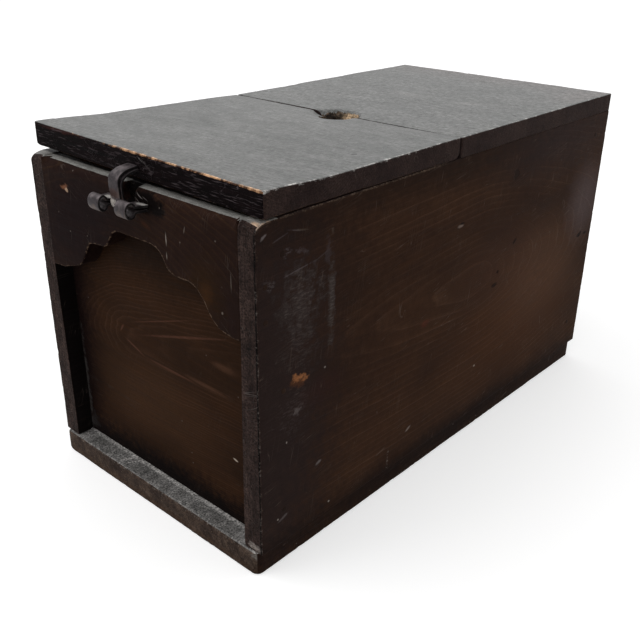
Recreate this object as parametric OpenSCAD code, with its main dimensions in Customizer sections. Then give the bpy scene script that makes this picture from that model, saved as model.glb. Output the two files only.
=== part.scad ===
// Wooden coin chest: a long box with a recessed, scalloped front, a fixed rear top
// and a front lid that tips up at the seam. Millimetres, +Z up, front towards -Y.
// The origin is the centre of the underside.

/* [Chest] */
// Width across the front
chest_w = 288.5; // [250:0.5:330]
// Length from the front ends of the sides to the back ends
chest_l = 554; // [470:1:680]
// Height from the floor to the top
chest_h = 330; // [290:1:400]

/* [Boards] */
// Thickness of each side board
side_t = 18; // [14:0.5:22]
// Thickness of the bottom board
bottom_t = 22.5; // [14:0.5:26]
// Distance of the bottom board's edges inside the outer faces of the side boards
bottom_inset = 4; // [0:0.5:5]
// Distance that the bottom board stands out in front
bottom_proud = 2; // [0:0.5:5]
// Corner radius of the bottom board, seen from above
bottom_corner = 6; // [2:0.5:10]
// Thickness of the recessed front panel
panel_t = 18; // [12:0.5:22]
// Thickness of the scalloped apron, which is the depth of the front recess
apron_t = 18; // [12:0.5:24]
// Thickness of the back board
back_t = 18; // [12:0.5:22]
// Distance from the back ends of the sides in to the back board
back_inset = 18; // [0:0.5:30]
// Thickness of the fixed rear top and the place for the lid beside it
top_t = 18; // [14:0.5:22]
// Radius of the worn upper front corner of each side board
side_nose = 5; // [2:0.5:9]
// Radius of the boards' other worn outer edges
arris = 1.5; // [0.5:0.5:2.5]

/* [Front apron] */
// Gap between the top of the front wall and the underside of the top
front_drop = 1; // [0.5:0.1:4]
// Height from the apron's top down to the left lobe
left_lobe = 99; // [90:1:115]
// Height from the apron's top down to the right lobe
right_lobe = 95; // [86:1:110]
// Height from the apron's top down to the flat step
step_drop = 63.5; // [58:0.5:76]
// Height from the apron's top down to the middle arch
arch_drop = 44; // [40:1:52]
// Width of the flat part of the left lobe
left_flat = 27; // [20:1:36]
// Width of the flat part of the right lobe
right_flat = 19; // [12:1:30]
// Run of each lobe's curve up to the step
lobe_run = 37; // [28:1:42]
// Width of the flat step between the lobe's curve and the cusp
step_run = 20; // [10:1:22]
// Run of the curve from each cusp up to the arch
cusp_run = 21; // [14:1:26]

/* [Lid] */
// Distance from the chest's front to the seam between lid and fixed top
seam_at = 251; // [200:1:290]
// Distance from the chest's front back to the lid's front edge
lid_setback = 8.5; // [4:0.5:10]
// Gap between the lid and the side boards that it lies on
lid_clear = 0.3; // [0.2:0.1:0.8]
// Gap at the seam between the lid and the fixed top
seam_gap = 1; // [0.6:0.1:2]
// Radius of the lid's rear lower edge
seam_round = 9; // [6:0.5:12]

/* [Coin hole] */
// Diameter of the hole through the seam
hole_d = 36; // [28:1:42]
// Distance of the hole's centre to the right of the middle
hole_right = 1; // [-10:0.5:10]
// Distance of the hole's centre in front of the seam
hole_front = 2.5; // [2:0.5:10]
// Width of the dished wear round the hole
dish_d = 54; // [50:1:66]
// Depth of the dished wear at the hole's centre
dish_depth = 1.6; // [0.8:0.1:2.4]

/* [Lid battens] */
// Width of each batten under the lid
batten_w = 20; // [14:0.5:28]
// Height of each batten
batten_h = 18; // [14:0.5:26]
// Gap between a batten and the side board beside it
batten_side = 1.5; // [1:0.1:4]
// Gap between a batten's front end and the front panel
batten_front = 6; // [5:0.5:12]
// Length of the tongue behind the seam
tongue_l = 22; // [14:1:32]
// Gap between the tongue and the fixed top over it
tongue_clear = 1; // [0.6:0.1:2]

/* [Lock irons] */
// Distance of the lock's centre to the left of the middle
lock_left = 2.5; // [-10:0.5:10]
// Height from the middle of the lid's edge down to the eyes' axis
eye_drop = 24.5; // [23:0.5:32]
// Distance from the front face out to the eyes' axis
eye_out = 15.5; // [14:0.5:20]
// Bore of the three eyes
eye_d = 7.6; // [6:0.1:10]
// Thickness of the iron strip
strip_t = 1.9; // [1.4:0.1:2.4]
// Gap between the two layers of the folded strip
strip_gap = 0.4; // [0.3:0.1:0.6]
// Width of the hasp's strip
hasp_w = 12.5; // [9:0.5:16]
// Gap between the hasp's eye and the staple on each side
eye_gap = 4.7; // [1:0.1:6]
// Width of each staple's strip
staple_w = 14.5; // [10:0.5:22]
// Radius of the hasp's bend, to the middle of the strap
bend_r = 13; // [8:0.5:14]
// Length of the hasp's tang inside the lid
tang_l = 34; // [24:1:44]
// Length of each clenched leg behind the front panel
leg_l = 12; // [8:0.5:12.5]
// Gap between the irons and the slots that they are driven into
slot_clear = 0.15; // [0.1:0.05:0.3]

/* [Pegs] */
// Diameter of the wooden pegs
peg_d = 5; // [4:0.5:7]
// Depth of a peg in the second board
peg_depth = 22; // [14:1:26]
// Depth of a lid peg in its batten
lid_peg_depth = 11; // [8:0.5:13]
// Gap between a peg and its hole
peg_clear = 0.05; // [0.03:0.01:0.1]
// Distance that the bottom pegs are sunk into the underside
peg_sink = 0.5; // [0.3:0.1:1.5]
// Distance from the end of a board to the first peg of its row
peg_margin = 34; // [30:1:45]
// Distance between pegs along the fixed top and the lid
peg_pitch = 77; // [60:1:90]
// Height from the apron's top down to its first peg
apron_peg_drop = 48; // [20:1:50]
// Distance between the apron's two pegs
apron_peg_pitch = 28; // [15:1:32]
// Height from the front panel's top down to its highest peg
panel_peg_drop = 27; // [15:1:60]
// Height from the back board's top down to its highest peg
back_peg_drop = 23; // [23:1:60]

/* [Hidden] */
$fn = 64;

cut = 1;                       // overshoot of every cut past the face it leaves
dark = [0.16, 0.11, 0.09];     // stained wood
greyed = [0.30, 0.29, 0.28];   // weathered wood of the top
iron = [0.24, 0.22, 0.22];
peg_wood = [0.12, 0.08, 0.06];

front_y = -chest_l / 2;
back_y = chest_l / 2;
seam_y = front_y + seam_at;
top_z = chest_h - top_t;             // underside of the fixed top, top of the sides
front_top_z = top_z - front_drop;    // top of the apron and the front panel
inner_w = chest_w - 2 * side_t;
panel_y = front_y + apron_t;         // face of the recessed panel
panel_back = panel_y + panel_t;
back_face = back_y - back_inset - back_t;

left_z = front_top_z - left_lobe;
right_z = front_top_z - right_lobe;
step_z = front_top_z - step_drop;
arch_z = front_top_z - arch_drop;

lid_front = front_y + lid_setback;
lid_under = top_z + lid_clear;
lid_mid = chest_h - top_t / 2;
rear_top_front = seam_y + seam_gap;

hole = [hole_right, seam_y - hole_front];
dish_r = (dish_d * dish_d / 4 + dish_depth * dish_depth) / (2 * dish_depth);
// Chips broken out of the hole's rim: angle, distance from the rim inwards, radius
chips = [[38, 3, 6], [62, 4, 5.5], [88, 3, 4], [14, 2.5, 4.5]];

batten_x = inner_w / 2 - batten_side - batten_w / 2;
batten_y = panel_back + batten_front;
tongue_end = rear_top_front + tongue_l;
tongue_z = top_z - tongue_clear;

strap_t = 2 * strip_t + strip_gap;
eye_r = eye_d / 2 + strip_t;
eye_y = front_y - eye_out;
eye_z = lid_mid - eye_drop;
lock_x = -lock_left;
staple_x = hasp_w / 2 + eye_gap + staple_w / 2;

side_mid = chest_w / 2 - side_t / 2;
apron_mid = front_y + apron_t / 2;
panel_mid = panel_y + panel_t / 2;
back_mid = back_face + back_t / 2;
low_peg_z = bottom_t + peg_margin;
high_peg_z = top_z - back_peg_drop;
front_peg_z = front_top_z - panel_peg_drop;
apron_peg_z = [front_top_z - apron_peg_drop, front_top_z - apron_peg_drop - apron_peg_pitch];
peg_x = side_mid - peg_margin - side_t;

// Pegs through the side boards, as [y, z]
apron_peg_places = [for (z = apron_peg_z) [apron_mid, z]];
panel_peg_places = [for (z = spread(low_peg_z, front_peg_z, 3)) [panel_mid, z]];
back_peg_places = [for (z = spread(low_peg_z, high_peg_z, 3)) [back_mid, z]];

// Pegs up through the bottom board, as [x, y]
bottom_peg_places = concat(
    [for (side = [-1, 1], y = spread(panel_back + peg_margin, back_face - peg_margin, 5))
        [side * side_mid, y]],
    [for (x = spread(-peg_x, peg_x, 3), y = [panel_mid, back_mid]) [x, y]]);

// Pegs down through the fixed top, as [x, y]
rear_top_run = back_face - peg_depth - rear_top_front - peg_margin;
rear_top_count = floor(rear_top_run / peg_pitch) + 1;
rear_top_places = concat(
    [for (side = [-1, 1], i = [0 : rear_top_count - 1])
        [side * side_mid, rear_top_front + peg_margin + i * peg_pitch]],
    [for (x = spread(-peg_x, peg_x, 3)) [x, back_mid]]);

// Pegs down through the lid into its battens, as [x, y]
lid_run = seam_y - peg_margin - batten_y - peg_d;
lid_count = floor(lid_run / peg_pitch) + 1;
lid_peg_places = [for (side = [-1, 1], i = [0 : lid_count - 1])
    [side * batten_x, seam_y - peg_margin - i * peg_pitch]];

// Even steps from low to high
function spread(low, high, count) = [for (i = [0 : count - 1]) low + (high - low) * i / (count - 1)];

// A smooth rise from 0 to 1
function rise(t) = (1 - cos(180 * t)) / 2;

// A rise that leaves a small point at its start
function pointed(t) = 0.8 * rise(t) + 0.2 * sin(90 * t);

// Half of the apron's lower edge, as [distance from the side board, height]
function half_edge(lobe_z, flat_w) = let (curve = flat_w + lobe_run, cusp = curve + step_run, n = 12)
    concat(
        [[0, lobe_z - 1.5]],
        [for (i = [0 : n]) [flat_w + lobe_run * i / n, lobe_z + (step_z - lobe_z) * rise(i / n)]],
        [for (i = [0 : n]) [cusp + cusp_run * i / n, step_z + (arch_z - step_z) * pointed(i / n)]]);

// Maps a profile drawn as [y, z] onto a width along X
module along_x(w) {
    rotate([90, 0, 90]) linear_extrude(w, center = true) children();
}

// What rounding takes off a corner that points up and right
module corner_off(r) {
    difference() {
        square(r + cut);
        circle(r);
    }
}

// A block from its lowest corner to its highest
module block(low, high) {
    translate(low) cube(high - low);
}

module side_board(side) {
    color(dark) difference() {
        translate([side * side_mid, 0, 0]) along_x(side_t) difference() {
            translate([front_y, bottom_t]) square([chest_l, top_z - bottom_t]);
            translate([front_y + side_nose, top_z - side_nose]) rotate(90) corner_off(side_nose);
        }
        translate([side * (chest_w / 2 - arris), front_y + arris, 0])
            linear_extrude(chest_h) rotate(side > 0 ? -90 : 180) corner_off(arris);
        translate([side * (chest_w / 2 - arris), back_y - arris, 0])
            linear_extrude(chest_h) rotate(side > 0 ? 0 : 90) corner_off(arris);
        side_peg_set(apron_peg_places, peg_clear);
        side_peg_set(panel_peg_places, peg_clear);
        side_peg_set(back_peg_places, peg_clear);
        bottom_peg_holes();
        rear_top_peg_holes();
    }
}

module bottom_board() {
    r = bottom_corner;
    low = [-chest_w / 2 + bottom_inset, front_y - bottom_proud];
    high = [chest_w / 2 - bottom_inset, back_y - bottom_inset];
    color(dark) difference() {
        linear_extrude(bottom_t) union() {
            translate([low[0] + r, low[1]]) square([high[0] - low[0] - 2 * r, high[1] - low[1]]);
            translate([low[0], low[1] + r]) square([high[0] - low[0], high[1] - low[1] - 2 * r]);
            for (x = [low[0] + r, high[0] - r], y = [low[1] + r, high[1] - r])
                translate([x, y]) circle(r);
        }
        bottom_peg_holes();
    }
}

module front_panel() {
    color(dark) difference() {
        block([-inner_w / 2, panel_y, bottom_t], [inner_w / 2, panel_back, front_top_z]);
        side_peg_set(panel_peg_places, peg_clear);
        bottom_peg_holes();
        staple_slots();
    }
}

module front_apron() {
    left_half = half_edge(left_z, left_flat);
    right_half = half_edge(right_z, right_flat);
    last = len(right_half) - 1;
    outline = concat(
        [[inner_w / 2, front_top_z], [-inner_w / 2, front_top_z]],
        [for (p = left_half) [-inner_w / 2 + p[0], p[1]]],
        [for (i = [0 : last]) let (p = right_half[last - i]) [inner_w / 2 - p[0], p[1]]]);
    color(dark) difference() {
        translate([0, panel_y, 0]) rotate([90, 0, 0]) linear_extrude(apron_t) polygon(outline);
        side_peg_set(apron_peg_places, peg_clear);
        staple_slots();
    }
}

module back_board() {
    color(dark) difference() {
        block([-inner_w / 2, back_face, bottom_t], [inner_w / 2, back_face + back_t, top_z]);
        side_peg_set(back_peg_places, peg_clear);
        bottom_peg_holes();
        rear_top_peg_holes();
    }
}

// The round hole with its broken rim, and the shallow dish worn round it
module coin_hole() {
    translate([hole[0], hole[1], top_z - cut]) {
        cylinder(h = top_t + 2 * cut, d = hole_d);
        for (c = chips)
            rotate(c[0]) translate([hole_d / 2 - c[1], 0, 0]) cylinder(h = top_t + 2 * cut, r = c[2]);
    }
    translate([hole[0], hole[1], chest_h - dish_depth + dish_r]) sphere(dish_r, $fn = 128);
}

module rear_top_board() {
    color(greyed) difference() {
        along_x(chest_w) difference() {
            translate([rear_top_front, top_z]) square([back_y - rear_top_front, top_t]);
            translate([back_y - arris, chest_h - arris]) corner_off(arris);
        }
        coin_hole();
        rear_top_peg_holes();
    }
}

module lid_board() {
    r = seam_round;
    color(greyed) difference() {
        along_x(chest_w) difference() {
            translate([lid_front, lid_under]) square([seam_y - lid_front, chest_h - lid_under]);
            translate([seam_y - r, lid_under + r]) rotate(-90) corner_off(r);
            translate([lid_front + arris, chest_h - arris]) rotate(90) corner_off(arris);
            translate([lid_front + arris, lid_under + arris]) rotate(180) corner_off(arris);
        }
        coin_hole();
        lid_peg_holes();
        translate([lock_x, 0, 0]) along_x(hasp_w + 2 * slot_clear)
            translate([lid_front - cut, lid_mid - strap_t / 2 - slot_clear])
                square([tang_l + cut + slot_clear, strap_t + 2 * slot_clear]);
    }
}

// A batten under the lid, with the tongue that reaches under the fixed top
module lid_batten(side) {
    color(dark) difference() {
        translate([side * batten_x, 0, 0]) along_x(batten_w) union() {
            translate([batten_y, lid_under - batten_h])
                square([seam_y - seam_round - batten_y, batten_h]);
            translate([batten_y, lid_under - batten_h])
                square([tongue_end - batten_y, tongue_z - lid_under + batten_h]);
        }
        lid_peg_holes();
    }
}

// The loop of a folded strip, without its bore
module eye_outside() {
    translate([eye_y, eye_z]) circle(eye_r);
}

// The bore of a loop
module eye_bore() {
    translate([eye_y, eye_z]) circle(eye_d / 2);
}

// The hasp's path at a given thickness: tang, bend and drop to the eye
module hasp_path(t) {
    bend_y = eye_y + bend_r;
    bend_z = lid_mid - bend_r;
    translate([bend_y, lid_mid - t / 2]) square([lid_front + tang_l - bend_y, t]);
    translate([bend_y, bend_z]) intersection() {
        difference() {
            circle(bend_r + t / 2);
            circle(bend_r - t / 2);
        }
        translate([-2 * bend_r, 0]) square(2 * bend_r);
    }
    translate([eye_y - t / 2, eye_z]) square([t, bend_z - eye_z]);
}

module hasp() {
    color(iron) translate([lock_x, 0, 0]) along_x(hasp_w) difference() {
        union() {
            hasp_path(strap_t);
            eye_outside();
        }
        hasp_path(strip_gap);
        eye_bore();
    }
}

// A folded strip through the front wall, its two legs clenched behind the panel
module staple(side) {
    color(iron) translate([lock_x + side * staple_x, 0, 0]) along_x(staple_w) difference() {
        union() {
            eye_outside();
            translate([eye_y, eye_z - strap_t / 2]) square([panel_back + strip_t - eye_y, strap_t]);
            translate([panel_back, eye_z - leg_l]) square([strip_t, 2 * leg_l]);
        }
        eye_bore();
        translate([eye_y, eye_z - strip_gap / 2])
            square([panel_back + strip_t + cut - eye_y, strip_gap]);
    }
}

module staple_slots() {
    for (side = [-1, 1])
        translate([lock_x + side * staple_x, 0, eye_z])
            cube([staple_w + 2 * slot_clear, 2 * (apron_t + panel_t) + 2 * chest_l,
                strap_t + 2 * slot_clear], center = true);
}

// Pegs along X through both side boards, or their holes when grown by the clearance
module side_peg_set(places, grow) {
    for (side = [-1, 1], p = places)
        translate([side * (chest_w / 2 + grow), p[0], p[1]]) rotate([0, -side * 90, 0])
            cylinder(h = side_t + peg_depth + 2 * grow, d = peg_d + 2 * grow);
}

module bottom_peg_set(grow) {
    for (p = bottom_peg_places)
        translate([p[0], p[1], peg_sink - grow])
            cylinder(h = bottom_t + peg_depth + 2 * grow, d = peg_d + 2 * grow);
}

module bottom_peg_holes() {
    bottom_peg_set(peg_clear);
    for (p = bottom_peg_places)
        translate([p[0], p[1], -cut]) cylinder(h = peg_sink + cut, d = peg_d + 2 * peg_clear);
}

module rear_top_peg_set(grow) {
    depth = top_t + peg_depth + 2 * grow;
    for (p = rear_top_places)
        translate([p[0], p[1], chest_h + grow - depth]) cylinder(h = depth, d = peg_d + 2 * grow);
}

module rear_top_peg_holes() {
    rear_top_peg_set(peg_clear);
}

module lid_peg_set(grow) {
    depth = top_t + lid_peg_depth + 2 * grow;
    for (p = lid_peg_places)
        translate([p[0], p[1], chest_h + grow - depth]) cylinder(h = depth, d = peg_d + 2 * grow);
}

module lid_peg_holes() {
    lid_peg_set(peg_clear);
}

module apron_pegs() {
    color(peg_wood) side_peg_set(apron_peg_places, 0);
}

module panel_pegs() {
    color(peg_wood) side_peg_set(panel_peg_places, 0);
}

module back_pegs() {
    color(peg_wood) side_peg_set(back_peg_places, 0);
}

module bottom_pegs() {
    color(peg_wood) bottom_peg_set(0);
}

module rear_top_pegs() {
    color(peg_wood) rear_top_peg_set(0);
}

module lid_pegs() {
    color(peg_wood) lid_peg_set(0);
}

bottom_board();
side_board(-1);  // side_board_left
side_board(1);  // side_board_right
front_panel();
front_apron();
back_board();
rear_top_board();
lid_board();
lid_batten(-1);  // lid_batten_left
lid_batten(1);  // lid_batten_right
hasp();
staple(-1);  // staple_left
staple(1);  // staple_right
apron_pegs();
panel_pegs();
back_pegs();
bottom_pegs();
rear_top_pegs();
lid_pegs();
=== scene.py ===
import math

import bmesh
import bpy
import numpy as np
from mathutils import Euler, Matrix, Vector, noise
from mathutils.geometry import delaunay_2d_cdt


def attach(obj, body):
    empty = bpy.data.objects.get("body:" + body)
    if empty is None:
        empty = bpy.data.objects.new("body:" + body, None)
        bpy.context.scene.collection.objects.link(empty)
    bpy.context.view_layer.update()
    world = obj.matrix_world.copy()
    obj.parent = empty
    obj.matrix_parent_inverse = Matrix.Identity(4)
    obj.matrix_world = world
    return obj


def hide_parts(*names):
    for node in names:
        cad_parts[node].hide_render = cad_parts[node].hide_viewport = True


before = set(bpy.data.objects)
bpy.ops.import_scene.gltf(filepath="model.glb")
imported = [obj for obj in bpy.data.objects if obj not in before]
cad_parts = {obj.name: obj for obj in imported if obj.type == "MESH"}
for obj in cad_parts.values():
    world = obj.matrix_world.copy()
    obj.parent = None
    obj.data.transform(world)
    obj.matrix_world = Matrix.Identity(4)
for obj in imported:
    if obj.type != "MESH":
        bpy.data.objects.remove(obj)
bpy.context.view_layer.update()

scene = bpy.context.scene
mm = 0.001


def linearColour(hexValue):
    channels = [int(hexValue[i:i + 2], 16) / 255 for i in (1, 3, 5)]
    return tuple(c / 12.92 if c <= 0.04045 else ((c + 0.055) / 1.055) ** 2.4 for c in channels) + (1.0,)


def emptyTree(owner):
    owner.use_nodes = True
    owner.node_tree.nodes.clear()
    return owner.node_tree


def add(tree, kind, inputs=(), stops=None, **settings):
    # its main setting may follow the kind; inputs go in order or by name, with From and To for both ends of a range
    kind, _, main = kind.partition(" ")
    node = tree.nodes.new("ShaderNode" + kind)
    if main:
        settings[{"Mix": "data_type", "Mapping": "vector_type"}.get(kind, "operation")] = main
    for name, value in settings.items():
        setattr(node, name, value)
    inputs = dict(inputs if isinstance(inputs, dict) else enumerate(inputs))
    for end in {"From", "To"} & set(inputs):
        inputs[end + " Min"], inputs[end + " Max"] = inputs.pop(end)
    for key, value in inputs.items():
        if isinstance(key, int):
            socket = node.inputs[key]
        else:
            socket = next(s for s in node.inputs if s.name == key and s.enabled)
        if isinstance(value, bpy.types.Node):
            value = next(s for s in value.outputs if s.enabled)
        if isinstance(value, bpy.types.NodeSocket):
            tree.links.new(value, socket)
        else:
            socket.default_value = value
    if stops:
        elements = node.color_ramp.elements
        while len(elements) < len(stops):
            elements.new(0.5)
        for element, (position, grey) in zip(elements, stops):
            element.position = position
            element.color = (grey, grey, grey, 1)
    return node


def addObject(name, data):
    made = bpy.data.objects.new(name, data)
    scene.collection.objects.link(made)
    return made


def toObject(name, mesh):
    data = bpy.data.meshes.new(name)
    mesh.to_mesh(data)
    mesh.free()
    return addObject(name, data)


def joinRings(mesh, rings):
    for lower, upper in zip(rings, rings[1:]):
        for i, here in enumerate(lower):
            onward = (i + 1) % len(lower)
            mesh.faces.new((here, lower[onward], upper[onward], upper[i]))


def ripple(point, size, seed=0.0):  # smooth noise from -1 to 1 with bumps about size wide
    x, y, z = point
    return noise.noise(Vector((x / size + seed * 7.3, y / size - seed * 3.1, z / size + seed * 1.7)))


def clamp(value, low=0.0, high=1.0):
    return min(high, max(low, value))


def smooth(low, high, value):
    t = clamp((value - low) / (high - low))
    return t * t * (3 - 2 * t)


# Boards: each is a plan drawn flat in mm, given a thickness, with both its edges worn round.


def rectangle(left, low, right, high, radii):
    corners = ((left, low), (right, low), (right, high), (left, high))
    return [(u, v, radius) for (u, v), radius in zip(corners, radii)]


def roundedPlan(corners, spacing):  # corners are (u, v, radius), counter-clockwise
    points = []
    for i, (u, v, radius) in enumerate(corners):
        here = Vector((u, v))
        if radius <= 0:
            points.append(here)
            continue
        back = (Vector(corners[i - 1][:2]) - here).normalized()
        onward = (Vector(corners[(i + 1) % len(corners)][:2]) - here).normalized()
        halfAngle = back.angle(onward) / 2
        centre = here + (back + onward).normalized() * radius / math.sin(halfAngle)
        start = here + back * radius / math.tan(halfAngle) - centre
        side = 1 if onward.x * back.y - onward.y * back.x > 0 else -1
        sweep = side * (math.pi - 2 * halfAngle)
        steps = max(4, round(abs(sweep) * radius / spacing))
        for k in range(steps + 1):
            turn = sweep * k / steps
            points.append(centre + Vector((start.x * math.cos(turn) - start.y * math.sin(turn),
                                           start.x * math.sin(turn) + start.y * math.cos(turn))))
    dense = []
    for i, here in enumerate(points):
        onward = points[(i + 1) % len(points)]
        parts = max(1, round((onward - here).length / spacing))
        dense += [here.lerp(onward, k / parts) for k in range(parts)]
    return np.array(dense)


def depthInside(points, ring):  # distance to the ring's line, negative outside it
    step = np.roll(ring, -1, 0) - ring
    depth = np.empty(len(points))
    for first in range(0, len(points), 400):
        block = points[first:first + 400, None, :]
        t = np.clip(((block - ring) * step).sum(2) / (step ** 2).sum(1), 0, 1)
        gap = np.linalg.norm(block - (ring + t[..., None] * step), axis=2).min(1)
        above = (ring[:, 1] > block[..., 1]) != (np.roll(ring[:, 1], -1) > block[..., 1])
        rise = np.where(np.abs(step[:, 1]) < 1e-9, 1e-9, step[:, 1])
        cross = ring[:, 0] + (block[..., 1] - ring[:, 1]) / rise * step[:, 0]
        inside = (above & (block[..., 0] < cross)).sum(1) % 2 == 1
        depth[first:first + 400] = np.where(inside, gap, -gap)
    return depth


def edgeRadii(plan, wanted, ahead, length, uneven, seed):  # worn radius at each plan point, smaller where it turns
    radii = np.array([
        max(0.35, wanted(u, v) * (1 + uneven * (ripple((u, v, 0), 21, seed) + 0.9 * ripple((u, v, 9), 5.5, seed))))
        for u, v in plan])
    before = np.roll(ahead, 1, 0)
    turn = np.arctan2(before[:, 0] * ahead[:, 1] - before[:, 1] * ahead[:, 0], (before * ahead).sum(1))
    limit = np.where(turn > 0.04, 0.85 * np.minimum(length, np.roll(length, 1)) / np.maximum(turn, 0.04), 99.0)
    radii = np.minimum(radii, limit)
    for _ in range(2):
        radii = np.minimum((np.roll(radii, 1) + 2 * radii + np.roll(radii, -1)) / 4, limit)
    return radii


meshing = dict(mitreCap=1.6, arrisFade=1.8, sideRows=(0.8, 2.2, 4.8), nearRow=1.6, farRow=4.2, grid=8.0,
               jitter=0.22, dentRings=((0, 1), (0.3, 6), (0.6, 10), (0.95, 14), (1.25, 16)))
boardBase = dict(uneven=0.45, waves=0.2, nicks=0.25, wear=lambda x, y, z: 0.3, carve=None, carveGrid=None, dents=(),
                 warp=None)


def gridPoints(us, vs):
    us, vs = np.meshgrid(us, vs)
    return np.stack([us.ravel(), vs.ravel()], 1)


def faceScatter(edge, inward, dents, carveGrid, rng):  # points inside a flat face, closer at its dents and carving
    low, high, grid = edge.min(0), edge.max(0), meshing["grid"]
    inner = gridPoints(np.arange(low[0] + grid / 2, high[0], grid), np.arange(low[1] + grid / 2, high[1], grid))
    inner += rng.uniform(-meshing["jitter"], meshing["jitter"], inner.shape) * grid
    near = edge + inward * meshing["nearRow"]
    far = (edge + inward * meshing["farRow"])[::2]
    extra = []
    for u, v, radius, _ in dents:
        for share, parts in meshing["dentRings"]:
            turn = np.arange(parts) * 2 * math.pi / parts
            extra.append(np.stack([u + radius * share * np.cos(turn), v + radius * share * np.sin(turn)], 1))
        inner = inner[np.linalg.norm(inner - (u, v), axis=1) > radius * 1.4]
    scatter = np.concatenate([near[depthInside(near, edge) > 1.35], far[depthInside(far, edge) > 3.6],
                              inner[depthInside(inner, edge) > 5.4]])
    if carveGrid:
        (u0, u1), (v0, v1), step = carveGrid
        extra.append(gridPoints(np.arange(u0, u1, step), np.arange(v0, v1, step)))
    if extra:
        spots = np.concatenate(extra)
        spots = spots[depthInside(spots, edge) > 0.5]
        apart = np.array([np.linalg.norm(spots - p, axis=1).min() > 0.5 for p in scatter])
        scatter = np.concatenate([scatter[apart], spots])
    return scatter


def boardMesh(name, plan, board):
    board = {**boardBase, **board}
    count, thick, place, seed = len(plan), board["thick"], board["place"], board["seed"]
    ahead = np.roll(plan, -1, 0) - plan
    length = np.linalg.norm(ahead, axis=1)
    ahead = ahead / length[:, None]
    outward = np.stack([ahead[:, 1], -ahead[:, 0]], 1)
    normal = outward + np.roll(outward, 1, 0)
    normal /= np.linalg.norm(normal, axis=1)[:, None]
    mitre = np.minimum(meshing["mitreCap"], 1 / np.maximum(0.3, (normal * outward).sum(1)))
    lowR = edgeRadii(plan, board["lowRound"], ahead, length, board["uneven"], seed)
    topR = edgeRadii(plan, board["topRound"], ahead, length, board["uneven"], seed + 4)

    rows = []  # each row is (inset from the plan, height, how near an arris)
    for t in (0, 0.25, 0.5, 0.75, 1):
        rows.append((lowR * (1 - math.sin(t * math.pi / 2)), lowR * (1 - math.cos(t * math.pi / 2)), 1.0))
    gaps = meshing["sideRows"]
    for gap, share in [(gap, gap / thick) for gap in gaps] + [(gap, 1 - gap / thick) for gap in gaps[::-1]]:
        rows.append((lowR * 0, lowR + (thick - lowR - topR) * share, math.exp(-gap / meshing["arrisFade"])))
    for t in (1, 0.75, 0.5, 0.25, 0):
        rows.append((topR * (1 - math.sin(t * math.pi / 2)), thick - topR * (1 - math.cos(t * math.pi / 2)), 1.0))

    mesh = bmesh.new()
    arris = mesh.verts.layers.float.new("arris")
    rings = []
    for inset, height, closeness in rows:
        ring = []
        for i in range(count):
            u, v = plan[i] - normal[i] * mitre[i] * inset[i]
            vert = mesh.verts.new(place(u, v, height[i]))
            vert[arris] = closeness
            ring.append(vert)
        rings.append(ring)
    joinRings(mesh, rings)

    rng = np.random.default_rng(int(seed * 100) + 7)
    for ring, radii, height, dents, carveGrid in ((rings[0], lowR, 0.0, (), None),
                                                  (rings[-1], topR, thick, board["dents"], board["carveGrid"])):
        edge = plan - normal * (mitre * radii)[:, None]
        scatter = faceScatter(edge, -normal * mitre[:, None], dents, carveGrid, rng)
        depth = depthInside(scatter, edge)
        flat = [Vector(p) for p in np.concatenate([edge, scatter])]
        loop = [(i, (i + 1) % count) for i in range(count)]
        found, _, faces, origins, _, _ = delaunay_2d_cdt(flat, loop, [], 1, 1e-6)
        verts = []
        for p, origin in zip(found, origins):
            first = min(origin) if origin else -1
            if 0 <= first < count:
                verts.append(ring[first])
                continue
            vert = mesh.verts.new(place(p.x, p.y, height))
            vert[arris] = math.exp(-max(0.0, depth[first - count] if first >= 0 else 0.0) / meshing["arrisFade"])
            verts.append(vert)
        for face in faces:
            corners = [verts[i] for i in face]
            if len(set(corners)) == 3:
                mesh.faces.new(corners)
        for u, v, radius, sink in dents:
            centre = Vector(place(u, v, height))
            inward = (Vector(place(u, v, thick - height)) - centre).normalized()
            for vert in verts:
                share = (vert.co - centre).length / radius
                if share < 1:
                    vert.co += inward * sink * (1 - share * share) ** 2

    bmesh.ops.recalc_face_normals(mesh, faces=mesh.faces)
    mesh.normal_update()
    wear = mesh.verts.layers.float.new("wear")
    for vert in mesh.verts:
        vert[wear] = board["wear"](*vert.co)
    if board["carve"]:
        for vert in mesh.verts:
            vert.co += Vector(board["carve"](*vert.co))
    moves = []
    for vert in mesh.verts:
        shift = board["waves"] * ripple(vert.co, 34, seed) + 0.06 * ripple(vert.co, 7, seed + 2)
        shift -= vert[arris] * board["nicks"] * max(0.0, ripple(vert.co, 4.2, seed + 5) - 0.25)
        moves.append(vert.normal * shift)
    for vert, move in zip(mesh.verts, moves):
        vert.co += move
    if board["warp"]:
        for vert in mesh.verts:
            vert.co += Vector(board["warp"](*vert.co))
    for face in mesh.faces:
        face.smooth = True
        face.material_index = board["finishes"].index(board["slotAt"](*face.calc_center_median(), face.normal))
    for vert in mesh.verts:
        vert.co *= mm
    return toObject(name, mesh)


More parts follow.
